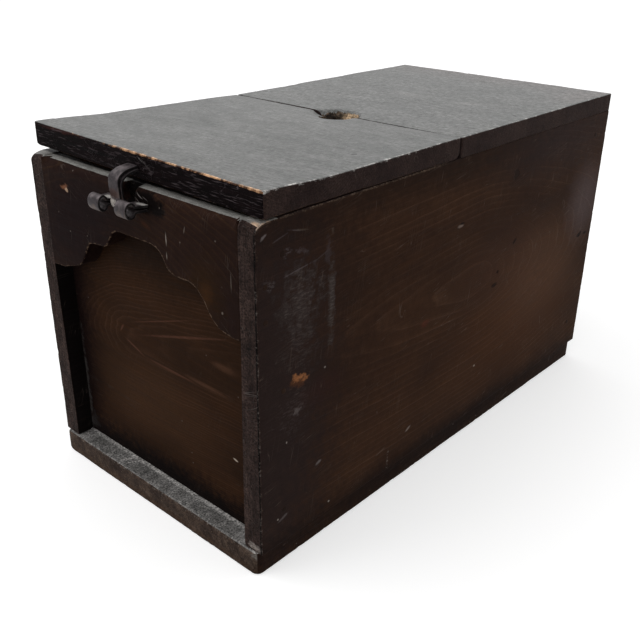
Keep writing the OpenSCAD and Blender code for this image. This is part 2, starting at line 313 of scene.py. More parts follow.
cedarBase = dict(
    order="XZY", seed=1.0, face=0.0, inward=1.0, markFace=None, marks=(), blotch=60.0,
    pith=dict(along=0.0, across=0.0, depth=60.0, lean=0.0, bowl=0.0, soft=30.0, slope=0.0, ring=5.0), bend=9.0,
    dark="#2a1c16", mid="#38271d", ringLine="#5b3d29", ringGain=0.55, ringRidge=0.5, ringFloor=0.25,
    fibreGain=0.16, fibreRidge=0.5, grit=0.10, gritSize=1.1, mottle=0.06, dust="#6b6764", dustGain=0.0,
    raw="#7d6a5c", rawDark="#4a3a30", rawSplit=(0.35, 0.65), wearLow=0.62, wearHigh=0.85, flakeSize=2.6,
    flakeWeight=1.5, rough=0.62, roughSpread=0.10, specular=0.03, bump=0.35, streakGain=0.0, streakColour="#5e5457",
    scratchGain=0.35, scratchTurn=0.0, scratchSize=(150, 6, 6), scratchColour="#6e625a",
    speckGain=0.5, speckCell=13.0, speckColour="#8b8078")


def onFace(pair, axis, level):  # a pair of numbers in a face and its own coordinate, as three numbers
    return (*pair[:axis], level, *pair[axis:])


def cedar(name, *looks):
    # Old cedar: straight fibres, growth rings as thin raised lines that fan out where the pith leaves the face.
    look = dict(cedarBase)
    for more in looks:
        look.update(more)
    pith, seed, blotch = {**cedarBase["pith"], **look["pith"]}, look["seed"], look["blotch"]
    material = bpy.data.materials.new(name)
    tree = emptyTree(material)
    place = add(tree, "Mapping", {"Vector": add(tree, "TexCoord").outputs["Object"], "Scale": (1 / mm,) * 3})
    axes = add(tree, "SeparateXYZ", [place])
    grain, across, into = (axes.outputs[letter] for letter in look["order"])
    along = add(tree, "CombineXYZ", [grain, across, into])

    # noises drawn out along the grain; the fibres are about 1 mm wide and 60 mm long
    noises = {}
    for key, shift, size, turn, detail, roughness in (
            ("slow", (seed * 3.7, seed * 1.9, seed), (190, 52, 52), 0, 2.0, 0.45),
            ("quick", (seed, seed * 5.1, 0.0), (48, 9, 9), 0, 1.0, 0.5),
            ("broad", (seed * 2.3, 0.0, seed), (blotch * 2.2, blotch, blotch), 0, 3.0, 0.55),
            ("fibre", (seed, seed, seed), (62, 1.3, 1.3), 0, 3.0, 0.6),
            ("scuffs", (0, 0, 0), (5.5, 1.7, 1.7), 35, 3.0, 0.7),
            ("lifted", (0, 0, 0), (13, 1.2, 1.2), 0, 2.0, 0.6)):
        local = add(tree, "Mapping", {"Vector": along, "Location": shift, "Rotation": (0, 0, math.radians(turn)),
                                      "Scale": [1 / s for s in size]})
        noises[key] = add(tree, "TexNoise", {"Vector": local, "Scale": 1, "Detail": detail, "Roughness": roughness})
    for key, size, detail, roughness in (("grit", look["gritSize"], 2.0, 0.7), ("ragged", 7, 4.0, 0.65),
                                         ("flakes", look["flakeSize"], 3.0, 0.7)):
        noises[key] = add(tree, "TexNoise", {"Vector": place, "Scale": 1 / size, "Detail": detail,
                                             "Roughness": roughness})
    fibre, grit, ragged, flakes = (noises[key] for key in ("fibre", "grit", "ragged", "flakes"))

    # the log: distance from a pith that leans and bows behind the face
    fromApex = add(tree, "Math SUBTRACT", [grain, pith["along"]])
    squared = add(tree, "Math MULTIPLY_ADD", [fromApex, fromApex, pith["soft"] ** 2])
    shallow = pith["depth"] - pith["bowl"] * pith["soft"]
    bowed = add(tree, "Math MULTIPLY_ADD", [add(tree, "Math SQRT", [squared]), pith["bowl"], shallow])
    leaning = add(tree, "Math MULTIPLY_ADD", [fromApex, pith["lean"], bowed])
    inside = add(tree, "Math SUBTRACT", [into, look["face"]])
    inside = add(tree, "Math MULTIPLY_ADD", [inside, look["inward"], leaning])
    sideways = add(tree, "Math SUBTRACT", [across, pith["across"]])
    sideways = add(tree, "Math MULTIPLY_ADD", [fromApex, -pith["slope"], sideways])
    distance = add(tree, "VectorMath LENGTH", [add(tree, "CombineXYZ", [sideways, inside])])
    wavy = add(tree, "Math MULTIPLY_ADD", [noises["slow"], look["bend"], distance.outputs["Value"]])
    wavy = add(tree, "Math MULTIPLY_ADD", [noises["quick"], 2.2, wavy])
    rings = add(tree, "Math DIVIDE", [wavy, pith["ring"]])
    year = add(tree, "TexWhiteNoise", {"W": add(tree, "Math FLOOR", [rings])}, noise_dimensions="1D")
    line = add(tree, "ValToRGB", [add(tree, "Math FRACT", [rings])],
               stops=((0.0, 0.25), (0.07, 0.0), (0.6, 0.06), (0.84, 0.6), (0.93, 1.0), (1.0, 0.3)))
    yearShare = add(tree, "MapRange", {"Value": year.outputs["Value"], "To": (0.25, 1.0)})
    lateWood = add(tree, "Math MULTIPLY", [line, yearShare])
    patchy = add(tree, "MapRange", {"Value": noises["broad"], "From": (0.35, 0.65), "To": (look["ringFloor"], 1.0)})
    ringShare = add(tree, "Math MULTIPLY", [lateWood, patchy])

    colour = linearColour(look["dark"])
    toMid = add(tree, "MapRange", {"Value": noises["broad"], "From": (0.3, 0.7)})
    toLine = add(tree, "Math MULTIPLY", [ringShare, look["ringGain"]])
    for share, tint in ((toMid, look["mid"]), (toLine, look["ringLine"])):
        colour = add(tree, "Mix RGBA", {"Factor": share, "A": colour, "B": linearColour(tint)})
    tones = [add(tree, "MapRange", {"Value": value, "From": (0.3, 0.7), "To": (middle - spread, middle + spread)})
             for value, middle, spread in ((fibre, 1, look["fibreGain"]), (grit, 1, look["grit"]),
                                           (ragged, 1, look["mottle"]), (fibre, look["rough"], look["roughSpread"]))]
    tone = add(tree, "Math MULTIPLY", [tones[0], tones[1]])
    tone = add(tree, "Math MULTIPLY", [tone, tones[2]])
    relief = add(tree, "Math MULTIPLY", [ringShare, look["ringRidge"]])
    for height, gain in ((fibre, look["fibreRidge"]), (grit, look["grit"])):
        relief = add(tree, "Math MULTIPLY_ADD", [height, gain, relief])

    # marks that this face carries: knots, stains, scuffs and rubbed places, and some painted shade and reflections,
    # fading from a core to a ragged rim
    axis, level = look["markFace"] or ("XYZ".index(look["order"][2]), look["face"])
    fray = add(tree, "Math SUBTRACT", [ragged, 0.5])
    between = add(tree, "MapRange", {"Value": noises["scuffs"], "From": (0.45, 0.66)})
    for at, size, tint, amount, core, rim, *more in look["marks"]:
        extra = more[0] if more else {}
        local = add(tree, "Mapping TEXTURE", {
            "Vector": place, "Location": at if len(at) == 3 else onFace(at, axis, level), "Scale": size,
            "Rotation": onFace((0, 0), axis, math.radians(extra.get("turn", 0)))})
        reach = add(tree, "VectorMath LENGTH", [local]).outputs["Value"]
        reach = add(tree, "Math MULTIPLY_ADD", [fray, rim, reach])
        share = add(tree, "MapRange", {"Value": reach, "From": (1.0, core), "To": (0, amount)},
                    interpolation_type="SMOOTHSTEP")
        if extra.get("grainy"):  # scuffed: many small scratches with the stain left between them
            share = add(tree, "Math MULTIPLY", [share, between])
        colour = add(tree, "Mix RGBA", {"Factor": share, "A": colour, "B": linearColour(tint)})
        if "sink" in extra:
            relief = add(tree, "Math MULTIPLY_ADD", [share, -extra["sink"], relief])
    colour = add(tree, "VectorMath MULTIPLY", [colour, tone])

    # scratches: thin broken lines, most of them one way and some across
    films = []
    for turn, stretch, offset in ((0, look["scratchSize"], 3.0), (68, (70, 5, 5), 8.0)):
        local = add(tree, "Mapping TEXTURE", {
            "Vector": along, "Location": (offset, offset + seed, 0.0), "Scale": stretch,
            "Rotation": (0, 0, math.radians(look["scratchTurn"] + turn))})
        streak = add(tree, "TexNoise", {"Vector": local, "Scale": 1, "Detail": 0.0})
        streak = add(tree, "Math ABSOLUTE", [add(tree, "Math SUBTRACT", [streak, 0.5])])
        hairline = add(tree, "MapRange", {"Value": streak, "From": (0.012, 0.0)})
        broken = add(tree, "TexNoise", {"Vector": along, "Scale": 1 / (17 + offset), "Detail": 1.0})
        broken = add(tree, "MapRange", {"Value": broken, "From": (0.56, 0.66)})
        broken = add(tree, "Math MULTIPLY", [broken, look["scratchGain"]])
        scratch = add(tree, "Math MULTIPLY", [hairline, broken])
        films.append((scratch, look["scratchColour"]))
        relief = add(tree, "Math MULTIPLY_ADD", [scratch, -0.8, relief])
    if look["streakGain"]:  # lifted fibres about 15 mm long catch the light on a rough edge
        lifted = {"Value": noises["lifted"], "From": (0.57, 0.73), "To": (0, look["streakGain"])}
        films.append((add(tree, "MapRange", lifted), look["streakColour"]))
    # specks: chips a millimetre wide
    cells = add(tree, "TexVoronoi", {"Vector": place, "Scale": 1 / look["speckCell"]})
    speck = add(tree, "MapRange", {"Value": cells.outputs["Distance"], "From": (0.07, 0.03)})
    chosen = add(tree, "SeparateColor", [cells.outputs["Color"]])
    chosen = add(tree, "Math GREATER_THAN", [chosen, 0.72])
    chosen = add(tree, "Math MULTIPLY", [chosen, look["speckGain"]])
    films.append((add(tree, "Math MULTIPLY", [speck, chosen]), look["speckColour"]))
    if look["dustGain"]:  # dust lies in a thin uneven film
        dusty = {"Value": ragged, "From": (0.38, 0.62), "To": (look["dustGain"] * 0.5, look["dustGain"])}
        films.append((add(tree, "MapRange", dusty), look["dust"]))
    for share, tint in films:
        colour = add(tree, "Mix RGBA", {"Factor": share, "A": colour, "B": linearColour(tint)})

    # rubbed arrises show the bare wood
    near, worn = (add(tree, "Attribute", attribute_name=layer).outputs["Fac"] for layer in ("arris", "wear"))
    rub = add(tree, "Math MULTIPLY", [add(tree, "Math MULTIPLY", [near, near]), worn])
    rub = add(tree, "Math MULTIPLY_ADD", [add(tree, "Math SUBTRACT", [flakes, 0.5]), look["flakeWeight"], rub])
    rub = add(tree, "MapRange", {"Value": rub, "From": (look["wearLow"], look["wearHigh"])})
    split = add(tree, "MapRange", {"Value": flakes, "From": look["rawSplit"]})
    dark, pale = linearColour(look["rawDark"]), linearColour(look["raw"])
    rawTone = add(tree, "Mix RGBA", {"Factor": split, "A": dark, "B": pale})
    rawTone = add(tree, "VectorMath MULTIPLY", [rawTone, tone])
    colour = add(tree, "Mix RGBA", {"Factor": rub, "A": colour, "B": rawTone})

    bump = add(tree, "Bump", {"Height": relief, "Strength": look["bump"], "Distance": 0.9 * mm})
    surface = add(tree, "BsdfPrincipled", {"Base Color": colour, "Roughness": tones[3], "IOR": 1.5, "Normal": bump,
                                           "Specular IOR Level": look["specular"]})
    add(tree, "OutputMaterial", {"Surface": surface})
    return material


caseHalfWidth, caseHalfLength, wall = 144.25, 277.0, 18.0
innerHalf = caseHalfWidth - wall

# each mark is (place in the face or in space, size, colour, amount, core, raggedness, other settings)
sideMarks = (
    ((-262, 200), (20, 165, 250), "#281c18", 0.75, 0.2, 0.4),  # front third is darker
    ((-270, 150), (20, 104, 260), "#2c2322", 0.72, 0.25, 1.0),  # under a haze of old wax
    ((0, 14), (20, 620, 34), "#150d0b", 0.85, 0.1, 0.5),  # painted shade along the foot, near the floor
    ((-80, 320), (20, 420, 52), "#1c1411", 0.6, 0.1, 0.4),
    ((120, 105), (20, 190, 85), "#4d3120", 0.55, 0.1, 0.6),
    ((162, 152), (20, 120, 86), "#5c4233", 0.62, 0.1, 0.6),
    ((80, 182), (20, 120, 62), "#50372b", 0.4, 0.1, 0.6),
    ((248, 214), (20, 60, 66), "#5b4e4d", 0.75, 0.1, 0.6),  # painted reflection: a pale grey sheen near the rear edge
    ((-232, 238), (8, 30, 44), "#433b39", 0.5, 0.1, 3.2),
    ((-230, 244), (8, 24, 27), "#655b57", 0.5, 0.1, 3.6, dict(grainy=True)),
    ((-232, 204), (8, 26, 34), "#5b504c", 0.45, 0.1, 3.6, dict(grainy=True)),
    ((-240, 150), (8, 26, 28), "#554a47", 0.5, 0.1, 3.6, dict(grainy=True)),
    ((-195, 231), (8, 5.5, 48), "#4d4643", 0.55, 0.1, 2.4),
    ((-195, 226), (8, 6.5, 42), "#6a615e", 0.5, 0.1, 3.0, dict(grainy=True)),
    ((-200, 274), (8, 4.5, 15), "#4c4344", 0.45, 0.2, 2.6),
    ((-247, 284), (6, 8, 4.5), "#776d6f", 0.6, 0.1, 3.4, dict(grainy=True)),
    ((-264, 264), (6, 7, 5), "#857c7d", 0.7, 0.1, 3.2, dict(grainy=True)),
    ((-234, 267), (6, 20, 0.8), "#665d5e", 0.5, 0.3, 2.2, dict(turn=7)),
    ((-255, 296), (6, 12, 0.8), "#5a5152", 0.4, 0.3, 2.6, dict(turn=14)),
    ((-236, 298.5), (6, 9, 0.8), "#675e5f", 0.4, 0.3, 2.0, dict(turn=-14)),
    ((-208, 82.5), (6, 6, 1.8), "#7b7270", 0.65, 0.2, 2.4, dict(turn=12)),
    ((-202, 172.5), (4, 1.4, 1.2), "#958b83", 0.9, 0.5, 0.3),
    ((-247, 121), (4, 1.0, 1.4), "#958b83", 0.9, 0.5, 0.3),
    ((-194, 33), (4, 1.4, 1.3), "#a3998f", 0.9, 0.5, 0.3),
    ((-251, 49), (6, 9, 1.6), "#6d6463", 0.6, 0.2, 2.4, dict(turn=18)),
    ((-258, 50), (4, 1.2, 1.2), "#a3998f", 0.8, 0.5, 0.3),
    ((-234, 172.5), (6, 12, 6.5), "#513425", 0.9, 0.3, 2.8, dict(turn=-20)),
    ((-231.5, 175.5), (6, 9.5, 4.6), "#a06a45", 0.85, 0.3, 4.2, dict(turn=-20, sink=0.6)),
    ((-205, 155), (8, 34, 18), "#3a231f", 0.3, 0.2, 2.2),
    ((-236, 146), (6, 7, 5), "#7d7371", 0.45, 0.1, 4.6),
    ((-231, 281), (6, 6, 4.5), "#5a4f50", 0.5, 0.1, 5.0),
    ((190, 296), (20, 200, 56), "#2f2728", 0.6, 0.1, 0.5),
    ((-268, 302), (6, 4, 1.4), "#8b8180", 0.5, 0.2, 3.0, dict(turn=30)),
    ((-228, 297), (6, 10, 1.2), "#54493f", 0.5, 0.2, 3.0, dict(turn=-12)),
    ((-205, 272), (6, 16, 0.9), "#4e4443", 0.5, 0.2, 2.6, dict(turn=18)),
    ((-14.2, 246.6), (4, 6, 2.2), "#85756b", 0.7, 0.4, 1.0, dict(sink=1.5)),
    ((-12.0, 248.6), (4, 5, 1.8), "#120c0a", 0.8, 0.4, 0.8),
    ((79.8, 277.5), (4, 7.5, 5.5), "#1d1513", 0.5, 0.6, 1.6, dict(sink=0.8)),
    ((92.1, 203.9), (4, 6.5, 3.0), "#120c0a", 0.8, 0.4, 1.2, dict(turn=35)),
    ((59.4, 164.4), (4, 6.5, 3.2), "#160d0a", 0.85, 0.4, 1.2),
    ((63.9, 178.0), (4, 3.2, 2.4), "#160d0a", 0.8, 0.4, 1.0),
    ((245.7, 171), (4, 6, 3.2), "#0f0a09", 0.85, 0.4, 1.4),
    ((261.6, 170), (4, 6, 3.0), "#0f0a09", 0.8, 0.4, 1.4),
    ((-78, 54.8), (4, 6, 1.8), "#8d8078", 0.7, 0.4, 0.8, dict(turn=25)),
    ((-109, 28), (4, 2.2, 19), "#8d8179", 0.8, 0.2, 2.4, dict(grainy=True)),
    ((35.8, 79.5), (4, 2.2, 1.6), "#a09488", 0.8, 0.4, 0.6),
    ((-62, 163), (4, 9, 5), "#5c2c22", 0.4, 0.3, 1.4),
)
stainedSide = cedar("stainedCedarSide", dict(
    order="YZX", seed=2.0, face=caseHalfWidth, inward=-1.0, marks=sideMarks,
    pith=dict(along=30.0, across=183.0, depth=30.0, lean=0.1, bowl=0.19, soft=22.0, ring=5.6),
    bend=7.0, dark="#2f1f17", mid="#402b1e", ringLine="#5e4434", ringGain=0.48, ringRidge=0.9, ringFloor=0.1,
    mottle=0.13, grit=0.16, bump=0.5, specular=0.02, raw="#54463b", rawDark="#2f231c", wearLow=0.5, wearHigh=0.75,
    scratchTurn=12.0, scratchGain=0.4, scratchSize=(70, 3.2, 3.2), scratchColour="#6b5c52"))
stainedSideLeft = cedar("stainedCedarSideLeft", dict(
    order="YZX", seed=5.0, face=-caseHalfWidth,
    pith=dict(along=-60.0, across=110.0, depth=46.0, bowl=0.15, soft=26.0, ring=5.5),
    dark="#2e1e15", mid="#3d291c", ringLine="#5a4131", ringGain=0.5, ringRidge=0.8, ringFloor=0.12,
    mottle=0.13, grit=0.16, specular=0.02, raw="#5d4a3d", rawDark="#35271f", scratchTurn=-9.0,
    marks=(
        # painted shade along the foot, near the floor
        ((0, 14), (20, 620, 34), "#150d0b", 0.85, 0.1, 0.5),
        ((60, 180), (20, 150, 90), "#472f22", 0.4, 0.1, 0.6),
        ((-220, 210), (8, 30, 46), "#5a5052", 0.5, 0.1, 2.8, dict(grainy=True)),
    )))
stainedPanel = cedar("stainedCedarPanel", dict(
    seed=3.0, face=-259.0, pith=dict(along=-57.6, across=157.0, lean=-0.15, bowl=0.11, soft=8.0, slope=0.11, ring=2.1),
    bend=5.0, dark="#26180f", mid="#382417", ringLine="#5c4234", ringGain=0.46, ringRidge=0.8, ringFloor=0.12,
    fibreGain=0.22, mottle=0.1, specular=0.02, scratchGain=0.1, speckGain=0.35,
    marks=(
        ((85, 171.5), (19, 8, 5), "#5a3f30", 0.55, 0.2, 0.8),
        ((62, 145.5), (38, 8, 3.2), "#5a3f30", 0.55, 0.2, 0.8, dict(turn=1)),
        ((34, 182), (76, 8, 1.7), "#5f4033", 0.6, 0.3, 0.6, dict(turn=-17)),
        ((5, 187.5), (60, 8, 1.0), "#5f4033", 0.5, 0.3, 0.5, dict(turn=-19)),
        ((-54, 162), (6.5, 8, 1.6), "#5f4033", 0.6, 0.3, 0.4, dict(turn=-55)),
        ((-36, 148), (19, 8, 1.7), "#5f4033", 0.6, 0.3, 0.5, dict(turn=20)),
        ((14, 142.8), (42, 8, 1.8), "#5f4033", 0.6, 0.3, 0.6),
        ((95.3, 87), (4, 8, 1.2), "#c9b8a8", 0.9, 0.4, 0.4, dict(turn=12)),
        ((-20, 100), (120, 8, 62), "#463021", 0.55, 0.1, 0.6),
        # painted shadow at the foot of the panel, above the sill
        ((0, 20), (400, 8, 36), "#0d0b0c", 0.92, 0.25, 0.9),
        # painted shade at the top of the panel, under the apron
        ((0, 275), (200, 8, 64), "#130b07", 0.75, 0.2, 0.4),
        # painted shade down the panel's left edge, beside the post
        ((-130, 150), (50, 8, 400), "#171011", 0.9, 0.1, 0.8),
        ((-124, 70), (4, 8, 70), "#5d5a58", 0.5, 0.1, 3.4),
        ((-122, 34), (12, 8, 14), "#4a4746", 0.4, 0.1, 2.6),
    )))
stainedApron = cedar("stainedCedarApron", dict(
    seed=4.0, face=-277.0, pith=dict(along=92.0, across=232.0, depth=44.0, lean=0.45, slope=-0.08),
    bend=8.0, dark="#1c1211", mid="#2b1c16", ringLine="#46311f", ringGain=0.4, ringFloor=0.05, mottle=0.18,
    specular=0.02, raw="#6e5a4b", rawDark="#33261e", rawSplit=(0.42, 0.6), wearLow=0.5, wearHigh=0.75,
    scratchTurn=80.0, scratchGain=0.3,
    marks=(
        ((-80, 262), (80, 8, 62), "#150b0c", 0.75, 0.3, 0.6),
        ((88, 248), (34, 8, 40), "#33210e", 0.5, 0.1, 0.8),
        ((-93.5, 291), (6.5, 6, 3.4), "#7d5540", 0.95, 0.4, 2.6, dict(turn=-18, sink=1.5)),
        ((-91, 288.5), (3, 6, 2.2), "#bd9f86", 0.9, 0.4, 2.2, dict(turn=20)),
        ((44.6, 277), (0.9, 5, 7), "#a0968d", 0.8, 0.3, 0.7),
        ((44.1, 263), (0.8, 5, 4), "#8f857c", 0.7, 0.3, 0.7),
        ((67.4, 290), (0.7, 5, 4), "#7f756c", 0.6, 0.3, 0.7, dict(turn=14)),
        ((118, 262), (0.7, 5, 9), "#7f756c", 0.5, 0.3, 1.2),
        ((107, 234), (1.2, 5, 1.4), "#857b72", 0.7, 0.3, 1.0),
        ((89, 244), (11, 6, 15), "#432a17", 0.55, 0.2, 1.0, dict(turn=20)),
        # dark grime right of the hasp, with the hasp's shadow painted into it
        ((25, 302), (25, 10, 11), "#080606", 0.95, 0.5, 1.2, dict(turn=8, sink=1.5)),
        ((14, 305), (5, 10, 0.5), "#8d8785", 0.8, 0.3, 1.4, dict(turn=30)),
        ((12, 301), (5, 10, 0.5), "#777170", 0.75, 0.3, 1.4, dict(turn=34)),
        ((20, 304), (4, 10, 0.5), "#6d6766", 0.7, 0.3, 1.4, dict(turn=28)),
        ((-1.9, -270, 306), (10.6, 16, 13), "#060505", 0.97, 0.8, 0.3),  # inside the groove behind the hasp, painted black as shade
        ((19, 283), (11, 6, 3.2), "#4a2d1e", 0.55, 0.2, 1.8, dict(turn=20)),
        ((-15, 284), (8, 6, 3), "#3f281d", 0.4, 0.2, 1.8),
    )))
stainedPostEnd = cedar("stainedCedarEndGrain", dict(
    # sawn ends: open pores take dirt, and what stands between them shines grey where rubbed
    order="ZXY", seed=2.0, face=-277.0, pith=dict(ring=4.0), dark="#221917", mid="#40332f", ringLine="#4b3f3a",
    ringGain=0.25, blotch=11.0, fibreGain=0.2, grit=0.8, gritSize=1.5, mottle=0.4, bump=1.0,
    raw="#6f6763", rawDark="#0b0807", rawSplit=(0.5, 0.6), wearLow=0.5, wearHigh=0.7, scratchTurn=4.0,
    scratchSize=(9, 2.0, 2.0), scratchGain=0.5, scratchColour="#7d7571", speckGain=0.9, speckCell=4.5,
    marks=(
        ((135, 28), (9, 6, 4.5), "#9f958f", 0.85, 0.2, 2.8),
        ((143.0, 160), (0.9, 6, 260), "#060404", 0.9, 0.5, 0.5),
    )))
topGrain = dict(order="XYZ", seed=6.0, face=330.0, inward=-1.0,
                pith=dict(along=-40.0, across=-120.0, depth=74.0, lean=0.05, ring=4.4))
stainedLidFront = cedar("stainedCedarLidFront", topGrain, dict(
    dark="#060404", mid="#100a0b", ringLine="#241b1c", ringGain=0.5, fibreGain=0.7, grit=0.4, mottle=0.3, bump=1.0,
    specular=0.02, raw="#b98f6d", rawDark="#5f3f2b", rawSplit=(0.42, 0.6), wearLow=0.6, flakeSize=7.0,
    flakeWeight=0.9, scratchTurn=1.0, scratchSize=(22, 1.9, 1.9), scratchGain=1.0, scratchColour="#5e5457",
    speckCell=8.0, speckGain=0.6, speckColour="#5f5655", streakGain=0.65, markFace=(1, -268.5),
    marks=(
        ((-100, -268, 337), (52, 10, 4), "#3b2320", 0.7, 0.2, 1.6),  # reddish at the left
        ((8, 331), (5, 6, 0.5), "#8d8785", 0.7, 0.3, 1.6, dict(turn=30)),
        ((13, 329), (6, 6, 0.5), "#7d7775", 0.6, 0.3, 1.6, dict(turn=40)),
        ((18, 326), (5, 6, 0.5), "#6d6765", 0.5, 0.3, 1.6, dict(turn=46)),
    )))
stainedLidEnd = cedar("stainedCedarLidEnd", topGrain, dict(
    pith=dict(along=-40.0, across=-226.0, depth=52.0, ring=2.3), bend=5.0, dark="#241a19", mid="#382c29",
    ringLine="#4a3b33", ringGain=0.6, fibreGain=0.2, grit=0.45, gritSize=1.5, mottle=0.25, bump=0.8, flakeSize=5.0,
    flakeWeight=1.0, raw="#aeaba7", rawDark="#6e6b69", rawSplit=(0.45, 0.6), wearLow=0.55, wearHigh=0.75,
    scratchTurn=5.0, scratchGain=0.3, speckCell=7.0))
stainedBackEdge = cedar("stainedCedarEdge", topGrain, dict(
    seed=6.5, bend=8.0, dark="#241b1a", mid="#2f2524", ringLine="#43352f", ringGain=0.5, fibreGain=0.25, bump=0.6,
    scratchTurn=5.0))
# inner faces near the ends of the case and the back of the apron: cedar painted near black as shade
recessPaintedShade = cedar("recessCedarPaintedShade", dict(
    order="YZX", seed=8.0, dark="#0d0908", mid="#141010", ringLine="#2a221e", ringGain=0.3, scratchGain=0.25,
    speckGain=0.25))
waxedDustAndSheenLook = dict(
    # waxed and dusty from handling: a grey film over the stain, with a sheen at low angles; part of that sheen is
    # painted into the grey base colour
    topGrain, bend=14.0, dark="#4d4e4c", mid="#666664", ringLine="#3f3f3e", ringGain=0.4, fibreGain=0.14,
    fibreRidge=0.15, grit=0.45, gritSize=2.6, mottle=0.34, blotch=20.0, rough=0.42, roughSpread=0.05,
    specular=0.5, bump=0.8, raw="#c9a27d", rawDark="#6b4832", rawSplit=(0.4, 0.6), wearLow=0.6, flakeSize=7.0,
    flakeWeight=0.9, scratchColour="#989590", scratchSize=(44, 3.2, 3.2), speckGain=0.9, speckCell=6.0,
    speckColour="#c2c0bd")
dustAndSheenTop = cedar("dustAndPaintedSheenTop", waxedDustAndSheenLook)
dustAndSheenTopRear = cedar("dustAndPaintedSheenTopRear", waxedDustAndSheenLook, dict(
    seed=6.3, blotch=30.0, mottle=0.42, gritSize=3.5, ringGain=0.75, fibreGain=0.16, scratchGain=0.5,
    marks=(
        ((0, 290), (400, 84, 12), "#655c5a", 0.6, 0.1, 0.6),
        ((140, 228), (60, 70, 12), "#6d6461", 0.5, 0.1, 0.8),
        ((130, 89), (8, 2.6, 5), "#2b2827", 0.8, 0.3, 1.6, dict(turn=-30, sink=1.0)),
        ((130, 11.5), (10, 2.6, 5), "#3a3736", 0.7, 0.3, 1.6, dict(turn=10, sink=1.0)),
        ((81, 147), (9, 2.4, 5), "#4a4745", 0.6, 0.3, 1.6, dict(turn=20)),
        ((64, 111), (22, 10, 5), "#8f8c89", 0.5, 0.1, 2.6, dict(turn=18)),
        ((-15, 109), (30, 12, 5), "#898683", 0.45, 0.1, 2.4, dict(turn=-12)),
    )))
dustAndSheenRim = cedar("dustAndPaintedSheenRim", waxedDustAndSheenLook, dict(raw="#aeaba7", rawDark="#6e6b69", wearLow=0.42, wearHigh=0.6))
dustAndSheenSill = cedar("dustAndSheenSill", dict(
    # dust and rubbing have left it grey, and nearly white in places; part of the grey is a painted sheen, as on the
    # top
    order="YXZ", seed=9.0, face=22.5, inward=-1.0, pith=dict(depth=50.0, ring=4.0), dark="#4f4d4b", mid="#777573",
    ringLine="#858280", ringGain=0.3, blotch=10.0, fibreGain=0.35, grit=1.0, gritSize=1.7, mottle=0.35, rough=0.55,
    specular=0.3, bump=0.6, raw="#8f8a85", rawDark="#2e2a28", rawSplit=(0.45, 0.6), wearLow=0.5,
    scratchGain=0.6, scratchSize=(50, 3, 3), scratchTurn=6.0, scratchColour="#9a9794",
    speckGain=1.0, speckCell=4.0, speckColour="#d2d0cd",
    marks=(
        ((0, -260.2), (900, 4.2, 6), "#a5a29f", 0.75, 0.3, 1.2),
        ((-120, -270), (16, 12, 6), "#9a9795", 0.5, 0.1, 1.6),
        ((118, -270), (18, 12, 6), "#9a9795", 0.5, 0.1, 1.6),
        ((136, -277, 20), (8, 5, 9), "#a5a19d", 0.8, 0.3, 2.2),
        ((-52, -268), (1.1, 13, 6), "#a5a19e", 0.9, 0.4, 0.5, dict(turn=-30)),
        ((-43, -266), (1.1, 12, 6), "#a5a19e", 0.9, 0.4, 0.5, dict(turn=-30)),
    )))
dustyCaseTop = cedar("dustyCaseTop", dict(
    # the top edges of the case that the lid leaves bare: rubbed grey, down to pale wood at the near corner
    order="XYZ", seed=9.5, face=312.0, inward=-1.0, pith=dict(depth=50.0, ring=4.0), dark="#5c5957", mid="#868480",
    ringLine="#989590", ringGain=0.3, fibreGain=0.25, grit=0.4, mottle=0.3, blotch=10.0, rough=0.55, specular=0.3,
    bump=0.8, raw="#b39a86", rawDark="#5d5049", wearLow=0.55, scratchGain=0.3, scratchColour="#9a9691",
    speckColour="#a8a5a0", speckGain=0.6, markFace=(2, 311),
    marks=(
        ((139.5, -273.5), (6, 4.5, 8), "#c8a98e", 0.9, 0.3, 2.0),
        # painted shadow of the lid across the back of the left post's top
        ((-135, -255), (30, 10, 8), "#080606", 0.97, 0.85, 0.4),
    )))
apronTopRubbedAndShaded = cedar("apronTopRubbedAndShaded", dict(
    # hands and the lid rub its front strip to a pale grey, and the rest, in shade under the lid, is painted black
    order="XYZ", seed=9.8, face=311.0, inward=-1.0, pith=dict(depth=50.0, ring=4.0), dark="#6a6966", mid="#8b8a86",
    ringLine="#9a9893", ringGain=0.3, fibreGain=0.2, grit=0.35, mottle=0.25, blotch=16.0, specular=0.2, bump=0.9,
    wearLow=0.9, wearHigh=1.2, scratchGain=0.3, scratchColour="#b5b3ae", scratchSize=(30, 3, 3),
    speckGain=0.6, speckCell=8.0, speckColour="#b8b5b0",
    marks=(
        # painted shadow of the lid over the back of the top
        ((0, -254), (2000, 10.0, 8), "#080606", 0.97, 0.9, 0.4),
        # painted shade inside the hasp's groove
        ((-1.9, -268, 309), (9.4, 12, 12), "#080606", 0.97, 0.85, 0.2),
    )))
stainedFoot = cedar("stainedCedarFoot", dict(
    order="YXZ", seed=10.0, face=22.5, inward=-1.0, pith=dict(depth=64.0, ring=4.5), dark="#2e2420", mid="#52443b",
    ringLine="#67564a", ringGain=0.3, blotch=11.0, fibreGain=0.2, grit=0.5, gritSize=1.8, mottle=0.4, bump=0.9,
    raw="#6e6862", rawDark="#221c1a", rawSplit=(0.42, 0.6), wearLow=0.4, wearHigh=0.7, scratchGain=0.4,
    scratchSize=(30, 3, 3), speckGain=0.9, speckCell=6.0, speckColour="#a09080",
    marks=(
        ((0, -279, 3), (300, 8, 6), "#4a3527", 0.45, 0.1, 2.6),
        ((137, -277, 19), (7, 6, 5), "#8f8b87", 0.5, 0.2, 2.8),
    )))
